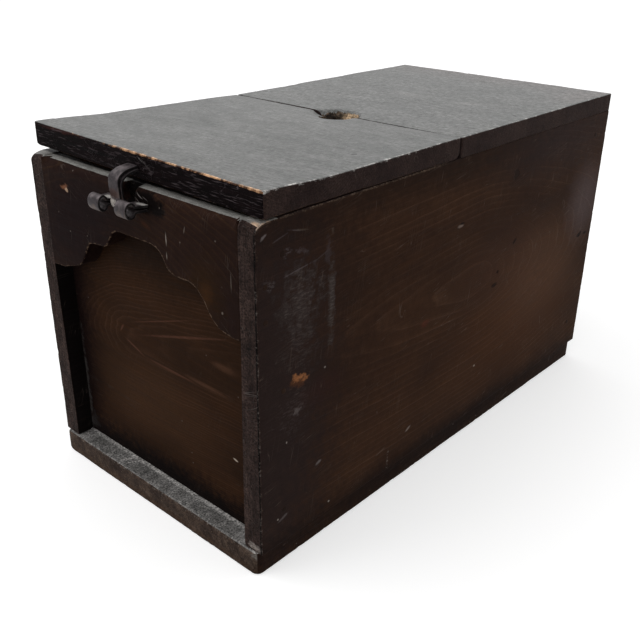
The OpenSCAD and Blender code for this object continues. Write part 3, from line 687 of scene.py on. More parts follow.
bareLook = dict(
    # never stained: the warm brown that cedar turns in the dark, with dirt in the grain
    dark="#6d4f36", mid="#8a6848", ringLine="#5a3d28", ringGain=0.65, fibreGain=0.14, rough=0.75, specular=0.2,
    scratchColour="#4a3625", scratchGain=0.25, speckGain=0.3, dust="#6f6253", dustGain=0.25,
    raw="#a98560", rawDark="#8a6545")
bareInside = cedar("agedBareCedar", bareLook, dict(
    order="YZX", seed=11.0, pith=dict(depth=80.0, across=120.0, bowl=0.06, ring=6.0)))
bareAcross = cedar("agedBareCedarAcross", bareLook, dict(
    seed=12.0, pith=dict(depth=70.0, across=150.0, lean=0.05, ring=5.5)))
bareUnder = cedar("agedBareCedarUnder", bareLook, dict(
    order="XYZ", seed=12.5, pith=dict(depth=70.0, across=-40.0, lean=0.05, ring=5.5)))
chewedWood = cedar("chewedCedar", dict(
    # torn bare fibres round the coin hole, light where fresh and black where hands have been; lower down, the hole's
    # walls are painted black as shade
    order="XYZ", seed=13.0, pith=dict(ring=4.0), dark="#0f0b0a", mid="#7d6a58", ringLine="#a08a75", ringGain=0.5,
    fibreGain=0.6, grit=0.7, gritSize=1.8, mottle=0.5, blotch=4.0, rough=0.8, specular=0.1, bump=1.0,
    scratchGain=0.0, speckGain=0.9, speckCell=5.0, speckColour="#b9a58f", raw="#a08a72", rawDark="#15100e",
    rawSplit=(0.45, 0.6), wearLow=0.7,
    marks=(
        ((-13, -20, 320), (14, 16, 30), "#0f0b0a", 0.9, 0.3, 1.2),
        ((4, -10, 325), (11, 8, 12), "#c9ad8c", 0.8, 0.3, 1.8),
        ((20, -22, 326), (8, 9, 12), "#3d3a38", 0.9, 0.4, 0.9),
        # painted shade down in the hole
        ((1, -28, 306), (30, 30, 14), "#070505", 0.95, 0.6, 0.8),
    )))
print("finishes made")


def finishPiece(piece, materials, node, body):
    for material in materials:
        piece.data.materials.append(material)
    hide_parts(node)
    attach(piece, body)


def makeBoard(name, node, body, plan, board):
    finishPiece(boardMesh(name, plan, board), board["finishes"], node, body)


sideBoard = dict(low=22.5, high=312.0, nose=6.0, arris=1.1, noseArris=1.5, cornerWear=2.2, footSwell=2.6)


def makeSide(name, node, sign, finish):
    def slotAt(x, y, z, facing):
        outward = facing.x * sign
        if facing.y < -0.55:
            return stainedPostEnd
        if outward > 0.6:
            return finish
        if outward < -0.6:
            return dustyCaseTop if y < -250 and z > 309 else recessPaintedShade if abs(y) > 250 else bareInside
        if facing.z > 0.5:
            return dustyCaseTop if y < -255 else stainedBackEdge
        return finish

    def wear(x, y, z):
        if y < -262 and z > 300:
            return 0.35 + 0.5 * smooth(307, 311, z) * smooth(130, 140, x * sign)
        if y < -250:
            return 0.42 if x * sign > 135 else 0.1
        return 0.1 + 0.55 * smooth(306, 311, z) * smooth(-25, -60, y)

    def carveSide(x, y, z):  # the near top corner is knocked down, and the post is a little thicker at its foot
        tip = smooth(-263, -277, y) * smooth(132, 144, x * sign) * smooth(300, 311, z)
        swell = smooth(230, 50, z) * smooth(-259.5, -262, y) * smooth(134, 127, x * sign)
        return (-sign * sideBoard["footSwell"] * swell, 0, -sideBoard["cornerWear"] * tip)

    plan = roundedPlan(rectangle(-caseHalfLength, sideBoard["low"], caseHalfLength, sideBoard["high"],
                                 (1.6, 1.6, 1.6, sideBoard["nose"])), 2.4)
    makeBoard(name, node, "carcass", plan, dict(
        seed=2.0 + sign, thick=wall, place=lambda u, v, w: (sign * (innerHalf + w), u, v),
        topRound=lambda u, v: sideBoard["noseArris"] if u < -270 else sideBoard["arris"],
        lowRound=lambda u, v: 1.2 if v > 300 and u < -255 else 0.4, wear=wear, waves=0.16, nicks=0.9, slotAt=slotAt,
        warp=carveSide, finishes=[finish, recessPaintedShade, bareInside, dustyCaseTop, stainedBackEdge, stainedPostEnd]))


makeSide("rightSide", "side_board_right", 1, stainedSide)
makeSide("leftSide", "side_board_left", -1, stainedSideLeft)

# recessed panel behind the arch
panelBoard = dict(front=-259.0, low=22.5, high=311.0)
panelPlan = roundedPlan(rectangle(-innerHalf, panelBoard["low"], innerHalf, panelBoard["high"], (1,) * 4), 3.0)
makeBoard("frontPanel", "front_panel", "carcass", panelPlan, dict(
    seed=3.0, thick=wall, place=lambda u, v, w: (u, panelBoard["front"] + wall - w, v), topRound=lambda u, v: 0.6,
    lowRound=lambda u, v: 0.8, finishes=[stainedPanel, bareAcross],
    slotAt=lambda x, y, z, facing: bareAcross if facing.y > 0.5 else stainedPanel))

# scalloped apron: two lobes, two steps and a middle arch
apronBoard = dict(front=-277.0, top=311.0, roundLeft=8.2, roundRight=7.4)
apronLine = [
    (-126.25, 210.5), (-117, 211.4), (-109, 211.8), (-102.2, 214.2), (-96, 215.8), (-89.3, 217.8), (-83, 220.2),
    (-78.9, 223.8), (-73.3, 231), (-68.3, 239.5), (-63.9, 245.4), (-57.1, 247.2), (-49, 247.9), (-41.5, 248.6),
    (-38.6, 249.9), (-35.6, 252.9), (-31.5, 258.7), (-27.7, 263.9), (-22.5, 266.8), (-16.5, 267.5),
    (-4.7, 267.4), (9.7, 267.8), (23.8, 267.9), (30.4, 266.6), (35.6, 263.3), (38.9, 259), (42.3, 252.9),
    (45.6, 250.2), (52.6, 248.2), (60, 248.0), (68.4, 248.3), (73, 247.4), (78.3, 245.1), (85.4, 238.2),
    (92.1, 227.6), (96.3, 223.2), (101.6, 219.7), (108.6, 217.6), (116, 216.4), (121, 216.2), (126.25, 217.1)]
haspSeat = dict(left=-11.4, right=7.6, low=296.5, deep=9.0, topPoints=(8.6, 7.6, 6.6, -10.4, -11.4, -12.4))


def wearApron(x, y, z):
    if abs(x) > 124 and z < 309:
        return 0.2
    if z > 300:
        return 0.25
    return 0.54 + 0.26 * smooth(0, 45, x)  # the scallops catch the light along their edge


def slotApron(x, y, z, facing):
    if facing.y > 0.5:
        return recessPaintedShade
    return apronTopRubbedAndShaded if facing.z > 0.98 and z > 300 else stainedApron


def roundApron(u, v):  # the top front arris is rubbed away, the scallops are crisp
    if v < 300:
        return 0.3 if abs(u) > 125 else 0.8
    share = smooth(-100, 100, u)
    return 0.3 if abs(u) > 125.6 else apronBoard["roundLeft"] * (1 - share) + apronBoard["roundRight"] * share


def carveApron(x, y, z):  # the groove that the hasp lies in
    left, right, low = (haspSeat[key] for key in ("left", "right", "low"))
    inside = smooth(left - 0.8, left + 0.8, x) * smooth(right + 0.8, right - 0.8, x)
    inside *= smooth(low - 1.5, low + 1.5, z)
    return (0, haspSeat["deep"] * inside * clamp((-262 - y) / 13), 0)


apronTop = [(x, apronBoard["top"], 0) for x in haspSeat["topPoints"]]
apronPlan = roundedPlan([(u, v, 0) for u, v in apronLine] + [(innerHalf, apronBoard["top"], 0.8)] + apronTop
                        + [(-innerHalf, apronBoard["top"], 0.8)], 2.2)
makeBoard("frontApron", "front_apron", "carcass", apronPlan, dict(
    seed=4.0, thick=wall, place=lambda u, v, w: (u, apronBoard["front"] + wall - w, v), topRound=roundApron,
    lowRound=lambda u, v: 0.5, uneven=0.18, wear=wearApron, nicks=0.6, carve=carveApron, slotAt=slotApron,
    carveGrid=((-13, 10), (294, 306), 1.1), dents=[(24, 303, 12, 1.4), (34, 305, 9, 1.0), (-94, 291, 4.5, 0.9)],
    finishes=[stainedApron, recessPaintedShade, apronTopRubbedAndShaded]))

# bottom board, whose front strip is the sill
footBoard = dict(left=-143.2, right=140.25, front=-279.0, rear=276.5, thick=22.5, corners=(6.0, 6.5, 6, 6),
                 sillRound=2.8, heel=11.0)


def slotFoot(x, y, z, facing):
    if facing.z > 0.6:
        return dustAndSheenSill if y < -250 else bareInside if y < 250 else stainedFoot
    if abs(facing.x) > 0.6:
        return stainedSide if x > 0 else stainedSideLeft
    return stainedPanel if y > 250 and facing.z > -0.6 else stainedFoot


def wornRound(reach, radius):  # how far a corner worn round lies back, reach mm from where its round begins
    return radius - math.sqrt(radius ** 2 - clamp(reach, 0.0, radius) ** 2)


def carveFoot(x, y, z):  # the lower front left corner is worn round
    worn = wornRound(footBoard["left"] + footBoard["heel"] - x, footBoard["heel"]) * smooth(-235, -265, y)
    return (0, 0, max(0.0, worn - z))


footPlan = roundedPlan(rectangle(footBoard["left"], footBoard["front"], footBoard["right"], footBoard["rear"],
                                 footBoard["corners"]), 2.6)
makeBoard("bottomBoard", "bottom_board", "carcass", footPlan, dict(
    seed=5.0, thick=footBoard["thick"], place=lambda u, v, w: (u, v, w),
    topRound=lambda u, v: footBoard["sillRound"] if v < -270 else 0.8, lowRound=lambda u, v: 0.7, uneven=0.3,
    wear=lambda x, y, z: 0.4, waves=0.25, nicks=0.8, carve=carveFoot, slotAt=slotFoot,
    finishes=[stainedFoot, dustAndSheenSill, bareInside, stainedSide, stainedSideLeft, stainedPanel]))

# back board
backBoard = dict(front=241, low=22.5, high=312)
backPlan = roundedPlan(rectangle(-innerHalf, backBoard["low"], innerHalf, backBoard["high"], (1,) * 4), 3.0)
makeBoard("backBoard", "back_board", "carcass", backPlan, dict(
    seed=6.0, thick=wall, place=lambda u, v, w: (u, backBoard["front"] + w, v), topRound=lambda u, v: 0.9,
    lowRound=lambda u, v: 0.6, waves=0.25, finishes=[stainedPanel, bareAcross],
    slotAt=lambda x, y, z, facing: bareAcross if facing.y < -0.5 else stainedPanel))

# the hole through the seam: one ragged outline shared by both top boards
coinHole = dict(centre=(1.0, -28.5), radius=17.0, seam=-25.5, gap=0.8, dish=2.0, dishRadius=29.0, chewed=6.5,
                spacing=6)  # every sixth degree keeps the points of the outline about 1.8 mm apart
holeX, holeY = coinHole["centre"]
rearEdge = coinHole["seam"] + coinHole["gap"]
lidEdge = coinHole["seam"] - coinHole["gap"]


def holeRadius(turn):
    x, y = math.cos(turn), math.sin(turn)
    bite = 1.6 * ripple((x * 9, y * 9, 0), 5.5, 2.0) + 0.9 * ripple((x * 9, y * 9, 4), 1.9, 3.0)
    return coinHole["radius"] + (bite if y > 0.1 else bite * 0.45)


def holeArc(seamY):  # plan points of the outline on one side of the seam
    points = []
    for turn in map(math.radians, range(361)):
        r = holeRadius(turn)
        x, y = holeX + r * math.cos(turn), holeY + r * math.sin(turn)
        if (y > seamY) == (seamY > coinHole["seam"]):
            points.append((x, y))
    return points


def around(point):  # angle of a plan point about the centre of the hole
    return math.atan2(point[1] - holeY, point[0] - holeX)


def topDish(x, y):  # the wood round the hole is rubbed down by fingers
    away = math.hypot(x - holeX + 3, (y - holeY) * 1.15 + 1.5)
    left = smooth(13.0, 3.0, math.hypot(x + 20.0, (y + 28.5) * 1.2))
    return -coinHole["dish"] * smooth(coinHole["dishRadius"], 15.0, away) - 2.2 * left


def chewedShare(x, y):  # 1 at the torn rim behind the hole, 0 where the board is whole
    reach = math.hypot(x - holeX, y - holeY)
    away = reach + 2.2 * ripple((x, y, 0), 6.0, 4.0) + 1.2 * ripple((x, y, 0), 2.3, 5.0)
    rearward = smooth(-0.25, 0.35, (y - holeY) / max(1.0, reach))
    return smooth(coinHole["radius"] + 3.0 + 7.0 * rearward, coinHole["radius"] - 1.5, away)


def slotTop(x, y, z, facing):
    away = math.hypot(x - holeX, y - holeY)
    if away < coinHole["radius"] + 2.5 and abs(facing.z) < 0.75 and not (y < lidEdge and facing.z > 0.15):
        return chewedWood
    if y > rearEdge and z > 313 and chewedShare(x, y) > 0.3:
        return chewedWood
    if facing.z > 0.62:
        return dustAndSheenRim if abs(x) > 141.4 else dustAndSheenTopRear if y > rearEdge else dustAndSheenTop
    if facing.z < -0.6:
        return bareUnder
    if abs(facing.x) > 0.6:
        return stainedLidEnd
    return stainedLidFront if y < -200 else stainedBackEdge


topFinishes = [dustAndSheenTop, dustAndSheenTopRear, dustAndSheenRim, stainedLidFront, stainedLidEnd, stainedBackEdge, bareUnder,
               chewedWood]
rearTop = dict(rear=277.0, low=312.0, thick=18.0)


def dishWarp(x, y, z):  # behind the hole the board is scooped out and torn
    torn, spot = chewedShare(x, y), (x, y, z)
    sink = coinHole["chewed"] * torn * (1 + 0.5 * ripple(spot, 3.4, 6.0)) + 1.1 * torn * ripple(spot, 1.6, 7.0)
    swell = 0.5 * smooth(0, 160, y) + 0.6 * smooth(60, 144, x) * smooth(150, 0, y)
    return (0, 0, (topDish(x, y) - sink + swell) * smooth(313, 330, z))


rearArc = sorted(holeArc(rearEdge), key=around)[::coinHole["spacing"]][::-1]
rearPlan = roundedPlan([(caseHalfWidth, rearEdge, 1.8), (caseHalfWidth, rearTop["rear"], 1.6),
                        (-caseHalfWidth, rearTop["rear"], 1.6), (-caseHalfWidth, rearEdge, 1.8)]
                       + [(x, y, 0) for x, y in rearArc], 2.4)
makeBoard("rearTopBoard", "rear_top_board", "carcass", rearPlan, dict(
    seed=7.0, thick=rearTop["thick"], place=lambda u, v, w: (u, v, rearTop["low"] + w),
    topRound=lambda u, v: 1.2 if u > 130 else 0.8, lowRound=lambda u, v: 0.6,
    wear=lambda x, y, z: 0.42 if abs(x) > 130 and z > 320 else 0.2, waves=0.35, nicks=0.7,
    carveGrid=((-28, 30), (-25, 4), 1.6), slotAt=slotTop, warp=dishWarp, finishes=topFinishes))

lidBoard = dict(front=-268.5, low=312.3, thick=17.7, heel=9.0, liftLeft=5.0, liftRight=1.6, belly=0.9, curlLeft=2.9,
                curlRight=2.4, endRound=5.0, leftEnd=-145.0)


def fromEnds(left, right, x):  # value at x, from the values at the left and right ends of the case
    side = clamp((x + caseHalfWidth) / (2 * caseHalfWidth))
    return left * (1 - side) + right * side


def lidLift(x, y):  # the lid has cupped, and its front corners stand clear of the case
    t = clamp((lidEdge - y) / (lidEdge - lidBoard["front"]))
    lift = fromEnds(lidBoard["liftLeft"], lidBoard["liftRight"], x)
    return lift * t ** 1.1 + fromEnds(lidBoard["belly"], 0.0, x) * math.sin(math.pi * t)


def lidCurl(x, y):  # the top face turns up towards the front edge
    front = fromEnds(lidBoard["curlLeft"], lidBoard["curlRight"], x) * smooth(-190, -264, y)
    return front + 0.9 * smooth(60, 144, x) * smooth(-180, -50, y)


def lidWarp(x, y, z):
    return (0, 0, lidLift(x, y) + (topDish(x, y) + lidCurl(x, y)) * smooth(316, 330, z))


def carveLid(x, y, z):  # the lower rear arris is rounded for tipping, and the lower front left corner is worn
    heel = wornRound(y - (lidEdge - lidBoard["heel"]), lidBoard["heel"])
    end = wornRound(lidBoard["leftEnd"] + lidBoard["endRound"] - x, lidBoard["endRound"]) * smooth(-225, -262, y)
    return (0, 0, max(0.0, lidBoard["low"] + heel + end - z))


def wearLid(x, y, z):
    if z < 320:
        return 0.15
    if y < -262:
        return 0.5 + 0.32 * smooth(-60, -10, x) + 0.32 * smooth(125, 142, x)
    return 0.5 if abs(x) > 130 else 0.15


lidArc = sorted(holeArc(lidEdge), key=lambda p: (around(p) - math.pi / 2) % (2 * math.pi))
lidArc = lidArc[::-1][::coinHole["spacing"]]
lidPlan = roundedPlan([(lidBoard["leftEnd"], lidEdge, 1.8), (lidBoard["leftEnd"], lidBoard["front"], 2.0),
                       (caseHalfWidth, lidBoard["front"], 2.0), (caseHalfWidth, lidEdge, 1.8)]
                      + [(x, y, 0) for x, y in lidArc], 2.4)
makeBoard("lidBoard", "lid_board", "lid", lidPlan, dict(
    seed=8.0, thick=lidBoard["thick"], place=lambda u, v, w: (u, v, lidBoard["low"] + w),
    topRound=lambda u, v: 1.1 if v < -260 else 1.5 if 60 < u and v < -60 else 0.8, lowRound=lambda u, v: 1.0,
    uneven=0.35, wear=wearLid, waves=0.35, nicks=0.55, carve=carveLid, carveGrid=((-26, 28), (-56, -26), 1.7),
    slotAt=slotTop, warp=lidWarp, finishes=topFinishes))

# battens under the lid, each with a tongue that slides below the fixed board
batten = dict(width=20.0, front=-235.0, step=-35.0, tip=-3.0, low=294.3, tongueTop=311.0, top=312.3)
battenPlan = roundedPlan([(batten[u], batten[v], radius) for u, v, radius in (
    ("front", "low", 1.5), ("tip", "low", 1.5), ("tip", "tongueTop", 1.5),
    ("step", "tongueTop", 0), ("step", "top", 0), ("front", "top", 1.0))], 3.0)
for name, node, x in (("battenLeft", "lid_batten_left", -114.75), ("battenRight", "lid_batten_right", 114.75)):
    makeBoard(name, node, "lid", battenPlan, dict(
        seed=9.0 + x / 100, thick=batten["width"], place=lambda u, v, w: (x - batten["width"] / 2 + w, u, v),
        topRound=lambda u, v: 0.9, lowRound=lambda u, v: 0.9, finishes=[bareInside],
        warp=lambda x, y, z: (0, 0, lidLift(x, y)), slotAt=lambda x, y, z, facing: bareInside))
print("boards made")


ironMarks = (  # (place, size, colour, amount, raggedness)
    ((-17, -283, 299.8), (7, 4.5, 2.6), "#c9c5c0", 0.95, 1.2),  # tangs: pale patches on their tops, painted highlights where the light catches them
    ((19.5, -278, 300), (8, 5, 2.8), "#d2cec9", 0.95, 1.2),
    ((-3, -288, 306), (8, 5, 5), "#3a231c", 0.8, 1.4),  # rust above the hasp's eye
    # painted highlight on the front of the hasp's eye
    ((-6, -288, 298.5), (6, 5, 4.2), "#b3aba4", 0.9, 1.8),
)
iron = bpy.data.materials.new("forgedIron")
tree = emptyTree(iron)
# Hand-forged iron: dull and purple-grey from old oxide, rubbed paler on top, with brown rust underneath; the paler
# tops are partly a painted highlight, set by which way each face turns.
place = add(tree, "Mapping", {"Vector": add(tree, "TexCoord").outputs["Object"], "Scale": (1 / mm,) * 3})
pits = add(tree, "TexNoise", {"Vector": place, "Scale": 1 / 1.6, "Detail": 4.0, "Roughness": 0.6})
patches = add(tree, "TexNoise", {"Vector": place, "Scale": 1 / 5.0, "Detail": 3.0})
geometry = add(tree, "NewGeometry")
upward = add(tree, "SeparateXYZ", [geometry.outputs["Normal"]]).outputs["Z"]
facing = add(tree, "SeparateXYZ", [geometry.outputs["True Normal"]])
oxide = add(tree, "MapRange", {"Value": pits, "From": (0.35, 0.65)})
# faces turned up go paler: wear, with a painted highlight on top
rubbedAndLitTop = add(tree, "Math MULTIPLY_ADD", [upward, 0.3, add(tree, "Math SUBTRACT", [patches, 0.4])])
rubbedAndLitTop = add(tree, "MapRange", {"Value": rubbedAndLitTop, "From": (0.2, 0.62), "To": (0, 0.7)})
rust = add(tree, "Math MULTIPLY_ADD", [upward, -0.3, patches])
rust = add(tree, "MapRange", {"Value": rust, "From": (0.52, 0.72)})
colour = linearColour("#1a1416")
for share, tint in ((oxide, "#383033"), (rubbedAndLitTop, "#807678"), (rust, "#3a251b")):
    colour = add(tree, "Mix RGBA", {"Factor": share, "A": colour, "B": linearColour(tint)})
for at, size, tint, amount, rim in ironMarks:  # bright patches painted as highlights, and dark rusty ones
    local = add(tree, "Mapping TEXTURE", {"Vector": place, "Location": at, "Scale": size})
    reach = add(tree, "VectorMath LENGTH", [local]).outputs["Value"]
    reach = add(tree, "Math MULTIPLY_ADD", [pits, rim, reach])
    share = add(tree, "MapRange", {"Value": reach, "From": (1.0 + 0.5 * rim, 0.5 + 0.5 * rim), "To": (0, amount)})
    colour = add(tree, "Mix RGBA", {"Factor": share, "A": colour, "B": linearColour(tint)})
# painted shade: faces turned backwards, as inside the eyes, and faces turned to the right, as on the cut ends, go near
# black
for side, start, end, amount, tint in (("Y", 0.1, 0.6, 0.9, "#120e0d"), ("X", 0.55, 0.8, 0.93, "#0d0a0a")):
    share = add(tree, "MapRange", {"Value": facing.outputs[side], "From": (start, end), "To": (0, amount)})
    colour = add(tree, "Mix RGBA", {"Factor": share, "A": colour, "B": linearColour(tint)})
add(tree, "OutputMaterial", {"Surface": add(tree, "BsdfPrincipled", {
    "Base Color": colour, "Metallic": add(tree, "MapRange", {"Value": rust, "To": (0.6, 0.0)}),
    "Roughness": add(tree, "MapRange", {"Value": pits, "To": (0.42, 0.66)}),
    "Normal": add(tree, "Bump", {"Height": pits, "Strength": 0.5, "Distance": 0.35 * mm})})})


def alongPath(points, spacing):  # evenly spaced points on a smooth line through the given ones
    path = [Vector(p) for p in points]
    dense = []
    for i in range(len(path) - 1):
        a, b = path[max(0, i - 1)], path[i]
        c, d = path[i + 1], path[min(len(path) - 1, i + 2)]
        parts = max(1, round((c - b).length / spacing))
        for k in range(parts):
            t = k / parts
            dense.append(0.5 * ((2 * b) + (c - a) * t + (2 * a - 5 * b + 4 * c - d) * t * t
                                + (3 * b - a - 3 * c + d) * t ** 3))
    return dense + [path[-1]]


forging = dict(corner=0.42, spacing=0.8, edgeWander=0.55, bend=0.16, faceDents=0.12)


def stripMesh(name, path, strip, seed):  # a forged strip bent along a path in the y-z plane
    path = alongPath(path, forging["spacing"])
    mesh = bmesh.new()
    arris = mesh.verts.layers.float.new("arris")
    corner = forging["corner"]
    outline = []
    for quarter, (cx, cy) in enumerate(((1, 1), (-1, 1), (-1, -1), (1, -1))):
        for k in range(4):
            turn = math.radians(90 * quarter + 30 * k)
            outline.append((cx, cy, corner * math.cos(turn), corner * math.sin(turn)))
    rings = []
    for i, point in enumerate(path):
        ahead = (path[min(i + 1, len(path) - 1)] - path[max(i - 1, 0)]).normalized()
        up = Vector((-ahead.y, ahead.x))  # the strip's face, in the (y, z) plane
        left, right = strip["sides"](point.y, i / len(path))
        width, thick, middle = (right - left) / 2, strip["thick"] / 2, (right + left) / 2
        ring = []
        for cx, cy, dx, dy in outline:
            x = cx * (width - corner) + dx
            w = cy * (thick - corner) + dy
            seat = Vector((middle + x, point.x + up.x * w, point.y + up.y * w))
            edge = 0.5 * ripple(seat, 5, seed) + 0.22 * ripple(seat, 1.7, seed + 1)
            seat.x += cx * edge * forging["edgeWander"]
            bend = forging["bend"] * ripple(seat, 4.5, seed + 2)
            seat.y += up.x * bend
            seat.z += up.y * bend
            vert = mesh.verts.new(seat * mm)
            vert[arris] = 1.0
            ring.append(vert)
        rings.append(ring)
    joinRings(mesh, rings)
    mesh.faces.new(rings[0])
    mesh.faces.new(rings[-1][::-1])
    # rows down each face let it be dented between its edges
    wide = [e for e in mesh.edges if abs(e.verts[0].co.x - e.verts[1].co.x) > 3 * mm]
    cut = bmesh.ops.subdivide_edges(mesh, edges=wide, cuts=3, use_grid_fill=True)
    for vert in {v for v in cut["geom_inner"] if isinstance(v, bmesh.types.BMVert)}:
        vert[arris] = 0.0
        vert.co += Vector((0, forging["faceDents"], forging["faceDents"])) * mm * ripple(vert.co / mm, 3.2, seed)
    bmesh.ops.recalc_face_normals(mesh, faces=mesh.faces)
    for face in mesh.faces:
        face.smooth = len(face.verts) <= 4
    return toObject(name, mesh)


stapleLeft = dict(node="staple_left", middle=-19.6, width=14.2, y=-292.3, z=296.4, deep=4.2, high=5.9)
stapleRight = dict(node="staple_right", middle=16.8, width=13.9, y=-292.5, z=298.0, deep=4.7, high=5.9)


def eyePoints(eye, degrees):
    return [(eye["y"] + eye["deep"] * math.cos(turn), eye["z"] + eye["high"] * math.sin(turn))
            for turn in map(math.radians, degrees)]


def staplePath(eye):  # in along the upper leg, round the eye and back along the lower one
    high, low = eye["z"] + 2.2, eye["z"] - 2.0
    upper = [(-252, 298.0), (-270, 298.3), (-281, (298.6 + eye["z"] + 2.2) / 2), (-286, high)]
    lower = [(-286, low), (-281, (294.9 + eye["z"] - 2.0) / 2), (-270, 295.0), (-252, 295.1)]
    return upper + eyePoints(eye, [24 + 312 * k / 22 for k in range(23)]) + lower


for name, eye, seed in (("stapleLeft", stapleLeft, 3.0), ("stapleRight", stapleRight, 5.0)):
    ends = (eye["middle"] - eye["width"] / 2, eye["middle"] + eye["width"] / 2)
    staple = stripMesh(name, staplePath(eye), dict(sides=lambda z, share: ends, thick=1.9), seed)
    finishPiece(staple, [iron], eye["node"], "carcass")

# the hasp folds over the lid's front edge and curls into a small eye between the staples
haspEye = dict(y=-285.0, z=297.9, deep=3.1, high=3.9)
haspOuter = [(-256, 324.8), (-268.7, 324.8), (-273, 324.5), (-278.2, 323.9), (-282.2, 322.6), (-285.7, 320.4),
             (-287.5, 317.6), (-287.8, 313.8), (-287.6, 309.5), (-287.1, 305.6), (-286.9, 302.8)]
haspInner = [(-285.1, 303.0), (-285.4, 307.6), (-285.6, 311.3), (-285.3, 315.0), (-283.6, 317.9), (-280.7, 319.9),
             (-276.6, 321.4), (-272.5, 322.1), (-267.7, 322.3), (-256, 322.3)]


def haspSides(z, share):  # the left edge steps in at the eye, and on the right the inner layer stands out
    return -8.6 + 1.4 * smooth(304, 297, z), 4.1 + 1.3 * smooth(0.5, 0.62, share)


hasp = stripMesh("haspStrip", haspOuter + eyePoints(haspEye, range(165, 431, 12)) + haspInner,
                 dict(sides=haspSides, thick=1.8), 7.0)
finishPiece(hasp, [iron], "hasp", "lid")
print("irons made")


pegWood = cedar("pegEndWood", dict(
    order="YZX", seed=14.0, pith=dict(depth=20.0, ring=1.2), dark="#211713", mid="#30221b", ringLine="#3d2a1e",
    ringGain=0.4, scratchGain=0.0, speckGain=0.0, bump=0.5))
pegDustAndSheen = cedar("pegEndDustAndPaintedSheen", dict(
    # planed flush and waxed over with the top, so that they barely show; their grey, like the top's, is partly a
    # painted sheen
    order="XYZ", seed=15.0, pith=dict(depth=20.0, ring=1.2), dark="#3f3e3d", mid="#4d4c4b", ringLine="#5a5957",
    ringGain=0.4, rough=0.42, specular=0.5, scratchGain=0.0, speckGain=0.3, grit=0.25, bump=0.5))
pegHead = dict(radius=2.5, length=6.0, corners=20)


def makePegs(name, node, body, heads, finish=pegWood):  # heads are (centre on the face in mm, outward, how far proud)
    mesh = bmesh.new()
    for number, (centre, outward, proud) in enumerate(heads):
        centre, outward = Vector(centre), Vector(outward)
        side = outward.orthogonal().normalized()
        other = outward.cross(side)
        rings = []
        for share, height in ((1.0, -pegHead["length"]), (1.0, -0.4), (0.97, proud * 0.2), (0.86, proud * 0.8),
                              (0.45, proud)):
            ring = []
            for k in range(pegHead["corners"]):
                turn = k * 2 * math.pi / pegHead["corners"]
                wobble = 1 + 0.05 * ripple((math.cos(turn), math.sin(turn), number), 0.8, 3.0)
                spoke = (side * math.cos(turn) + other * math.sin(turn)) * (pegHead["radius"] * share * wobble)
                ring.append(mesh.verts.new((centre + outward * height + spoke) * mm))
            rings.append(ring)
        joinRings(mesh, rings)
        mesh.faces.new(rings[0])
        mesh.faces.new(rings[-1])
    bmesh.ops.recalc_face_normals(mesh, faces=mesh.faces)
    for face in mesh.faces:
        face.smooth = len(face.verts) == 4
    finishPiece(toObject(name, mesh), [finish], node, body)


sides = ((caseHalfWidth, (1, 0, 0)), (-caseHalfWidth, (-1, 0, 0)))
for name, node, y, proud, heights in (("apronPegHeads", "apron_pegs", -268, 0.15, (263, 235)),
                                      ("panelPegHeads", "panel_pegs", -250, 0.15, (56.5, 170.25, 284)),
                                      ("backPegHeads", "back_pegs", 250, 0.2, (56.5, 172.75, 289))):
    makePegs(name, node, "carcass", [((x, y, z), way, proud) for x, way in sides for z in heights])
footHeads = [((s * 135.25, y, 0), (0, 0, -1), 0.1) for s in (-1, 1) for y in (-207, -103.5, 0, 103.5, 207)]
footHeads += [((x, s * 250, 0), (0, 0, -1), 0.1) for s in (-1, 1) for x in (-83.25, 0, 83.25)]
makePegs("bottomPegHeads", "bottom_pegs", "carcass", footHeads)
topHeads = [((s * 135.25, y, 330), (0, 0, 1), 0.05) for s in (-1, 1) for y in (9, 86, 163)]
topHeads += [((x, 250, 330), (0, 0, 1), 0.05) for x in (-83.25, 0, 83.25)]
makePegs("rearTopPegHeads", "rear_top_pegs", "carcass", topHeads, pegDustAndSheen)
lidHeads = [((x, y, 330 + lidLift(x, y) + lidCurl(x, y)), (0, 0, 1), 0.05)
            for x in (-114.75, 114.75) for y in (-60, -137, -214)]
makePegs("lidPegHeads", "lid_pegs", "lid", lidHeads, pegDustAndSheen)
print("pegs made")


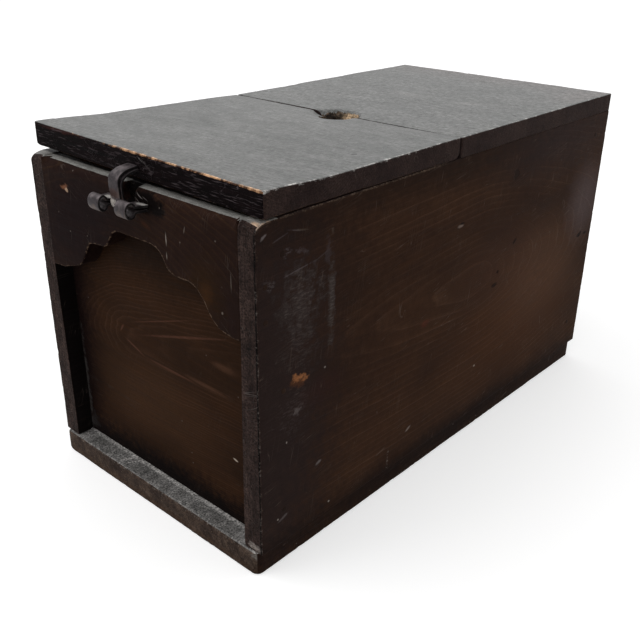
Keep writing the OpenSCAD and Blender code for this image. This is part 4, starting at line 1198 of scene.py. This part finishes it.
studio = dict(world=0.8, keyWatts=26.0, keySize=2.2, keyAt=(-1.3, -1.6, 2.9), keyAim=(0, 0, 0.15), floorCamera=0.45,
              floorReach=9, floorZ=-0.0004)


def whiteShare(tree):  # 1 for rays that meet plain white: from the camera, off gloss and through clear things
    path = add(tree, "LightPath").outputs
    seen = add(tree, "Math ADD", [path["Is Camera Ray"], path["Is Glossy Ray"]])
    return add(tree, "Math ADD", [seen, path["Is Transmission Ray"]], use_clamp=True)


world = bpy.data.worlds.new("studio")
scene.world = world
tree = emptyTree(world)
strength = add(tree, "MapRange", {"Value": whiteShare(tree), "To": (studio["world"], 1.0)})
add(tree, "OutputWorld", {"Surface": add(tree, "Background", {"Color": (1, 1, 1, 1), "Strength": strength})})

floorData = bpy.data.meshes.new("floor")
far, deep = studio["floorReach"], studio["floorZ"]
floorData.from_pydata([(-far, -far, deep), (far, -far, deep), (far, far, deep), (-far, far, deep)], [], [(0, 1, 2, 3)])
floor = addObject("floor", floorData)
floorPaper = bpy.data.materials.new("whitePaper")
tree = emptyTree(floorPaper)
seen = whiteShare(tree)
tone = add(tree, "Mix RGBA", {"Factor": seen, "A": linearColour("#7d7c7a"), "B": linearColour("#e6e6e6")})
glow = add(tree, "Math MULTIPLY", [seen, studio["floorCamera"]])
glow = add(tree, "Emission", {"Color": (1, 1, 1, 1), "Strength": glow})
add(tree, "OutputMaterial", {"Surface": add(tree, "AddShader", [add(tree, "BsdfDiffuse", {"Color": tone}), glow])})
floorData.materials.append(floorPaper)

keyData = bpy.data.lights.new("softKey", "AREA")
keyData.shape = "SQUARE"
keyData.size = studio["keySize"]
keyData.energy = studio["keyWatts"]
key = addObject("softKey", keyData)
key.location = studio["keyAt"]
key.rotation_euler = (Vector(studio["keyAim"]) - Vector(studio["keyAt"])).to_track_quat("-Z", "Y").to_euler()

cameraData = bpy.data.cameras.new("camera")
cameraData.lens = 46.93
cameraData.sensor_width = 36.0
camera = addObject("camera", cameraData)
camera.location = (0.538591, -0.650406, 0.499331)
camera.rotation_euler = Euler((1.126108, -0.012155, 0.734666), "XYZ")
scene.camera = camera
scene.view_settings.view_transform = "Standard"

print("scene ready")
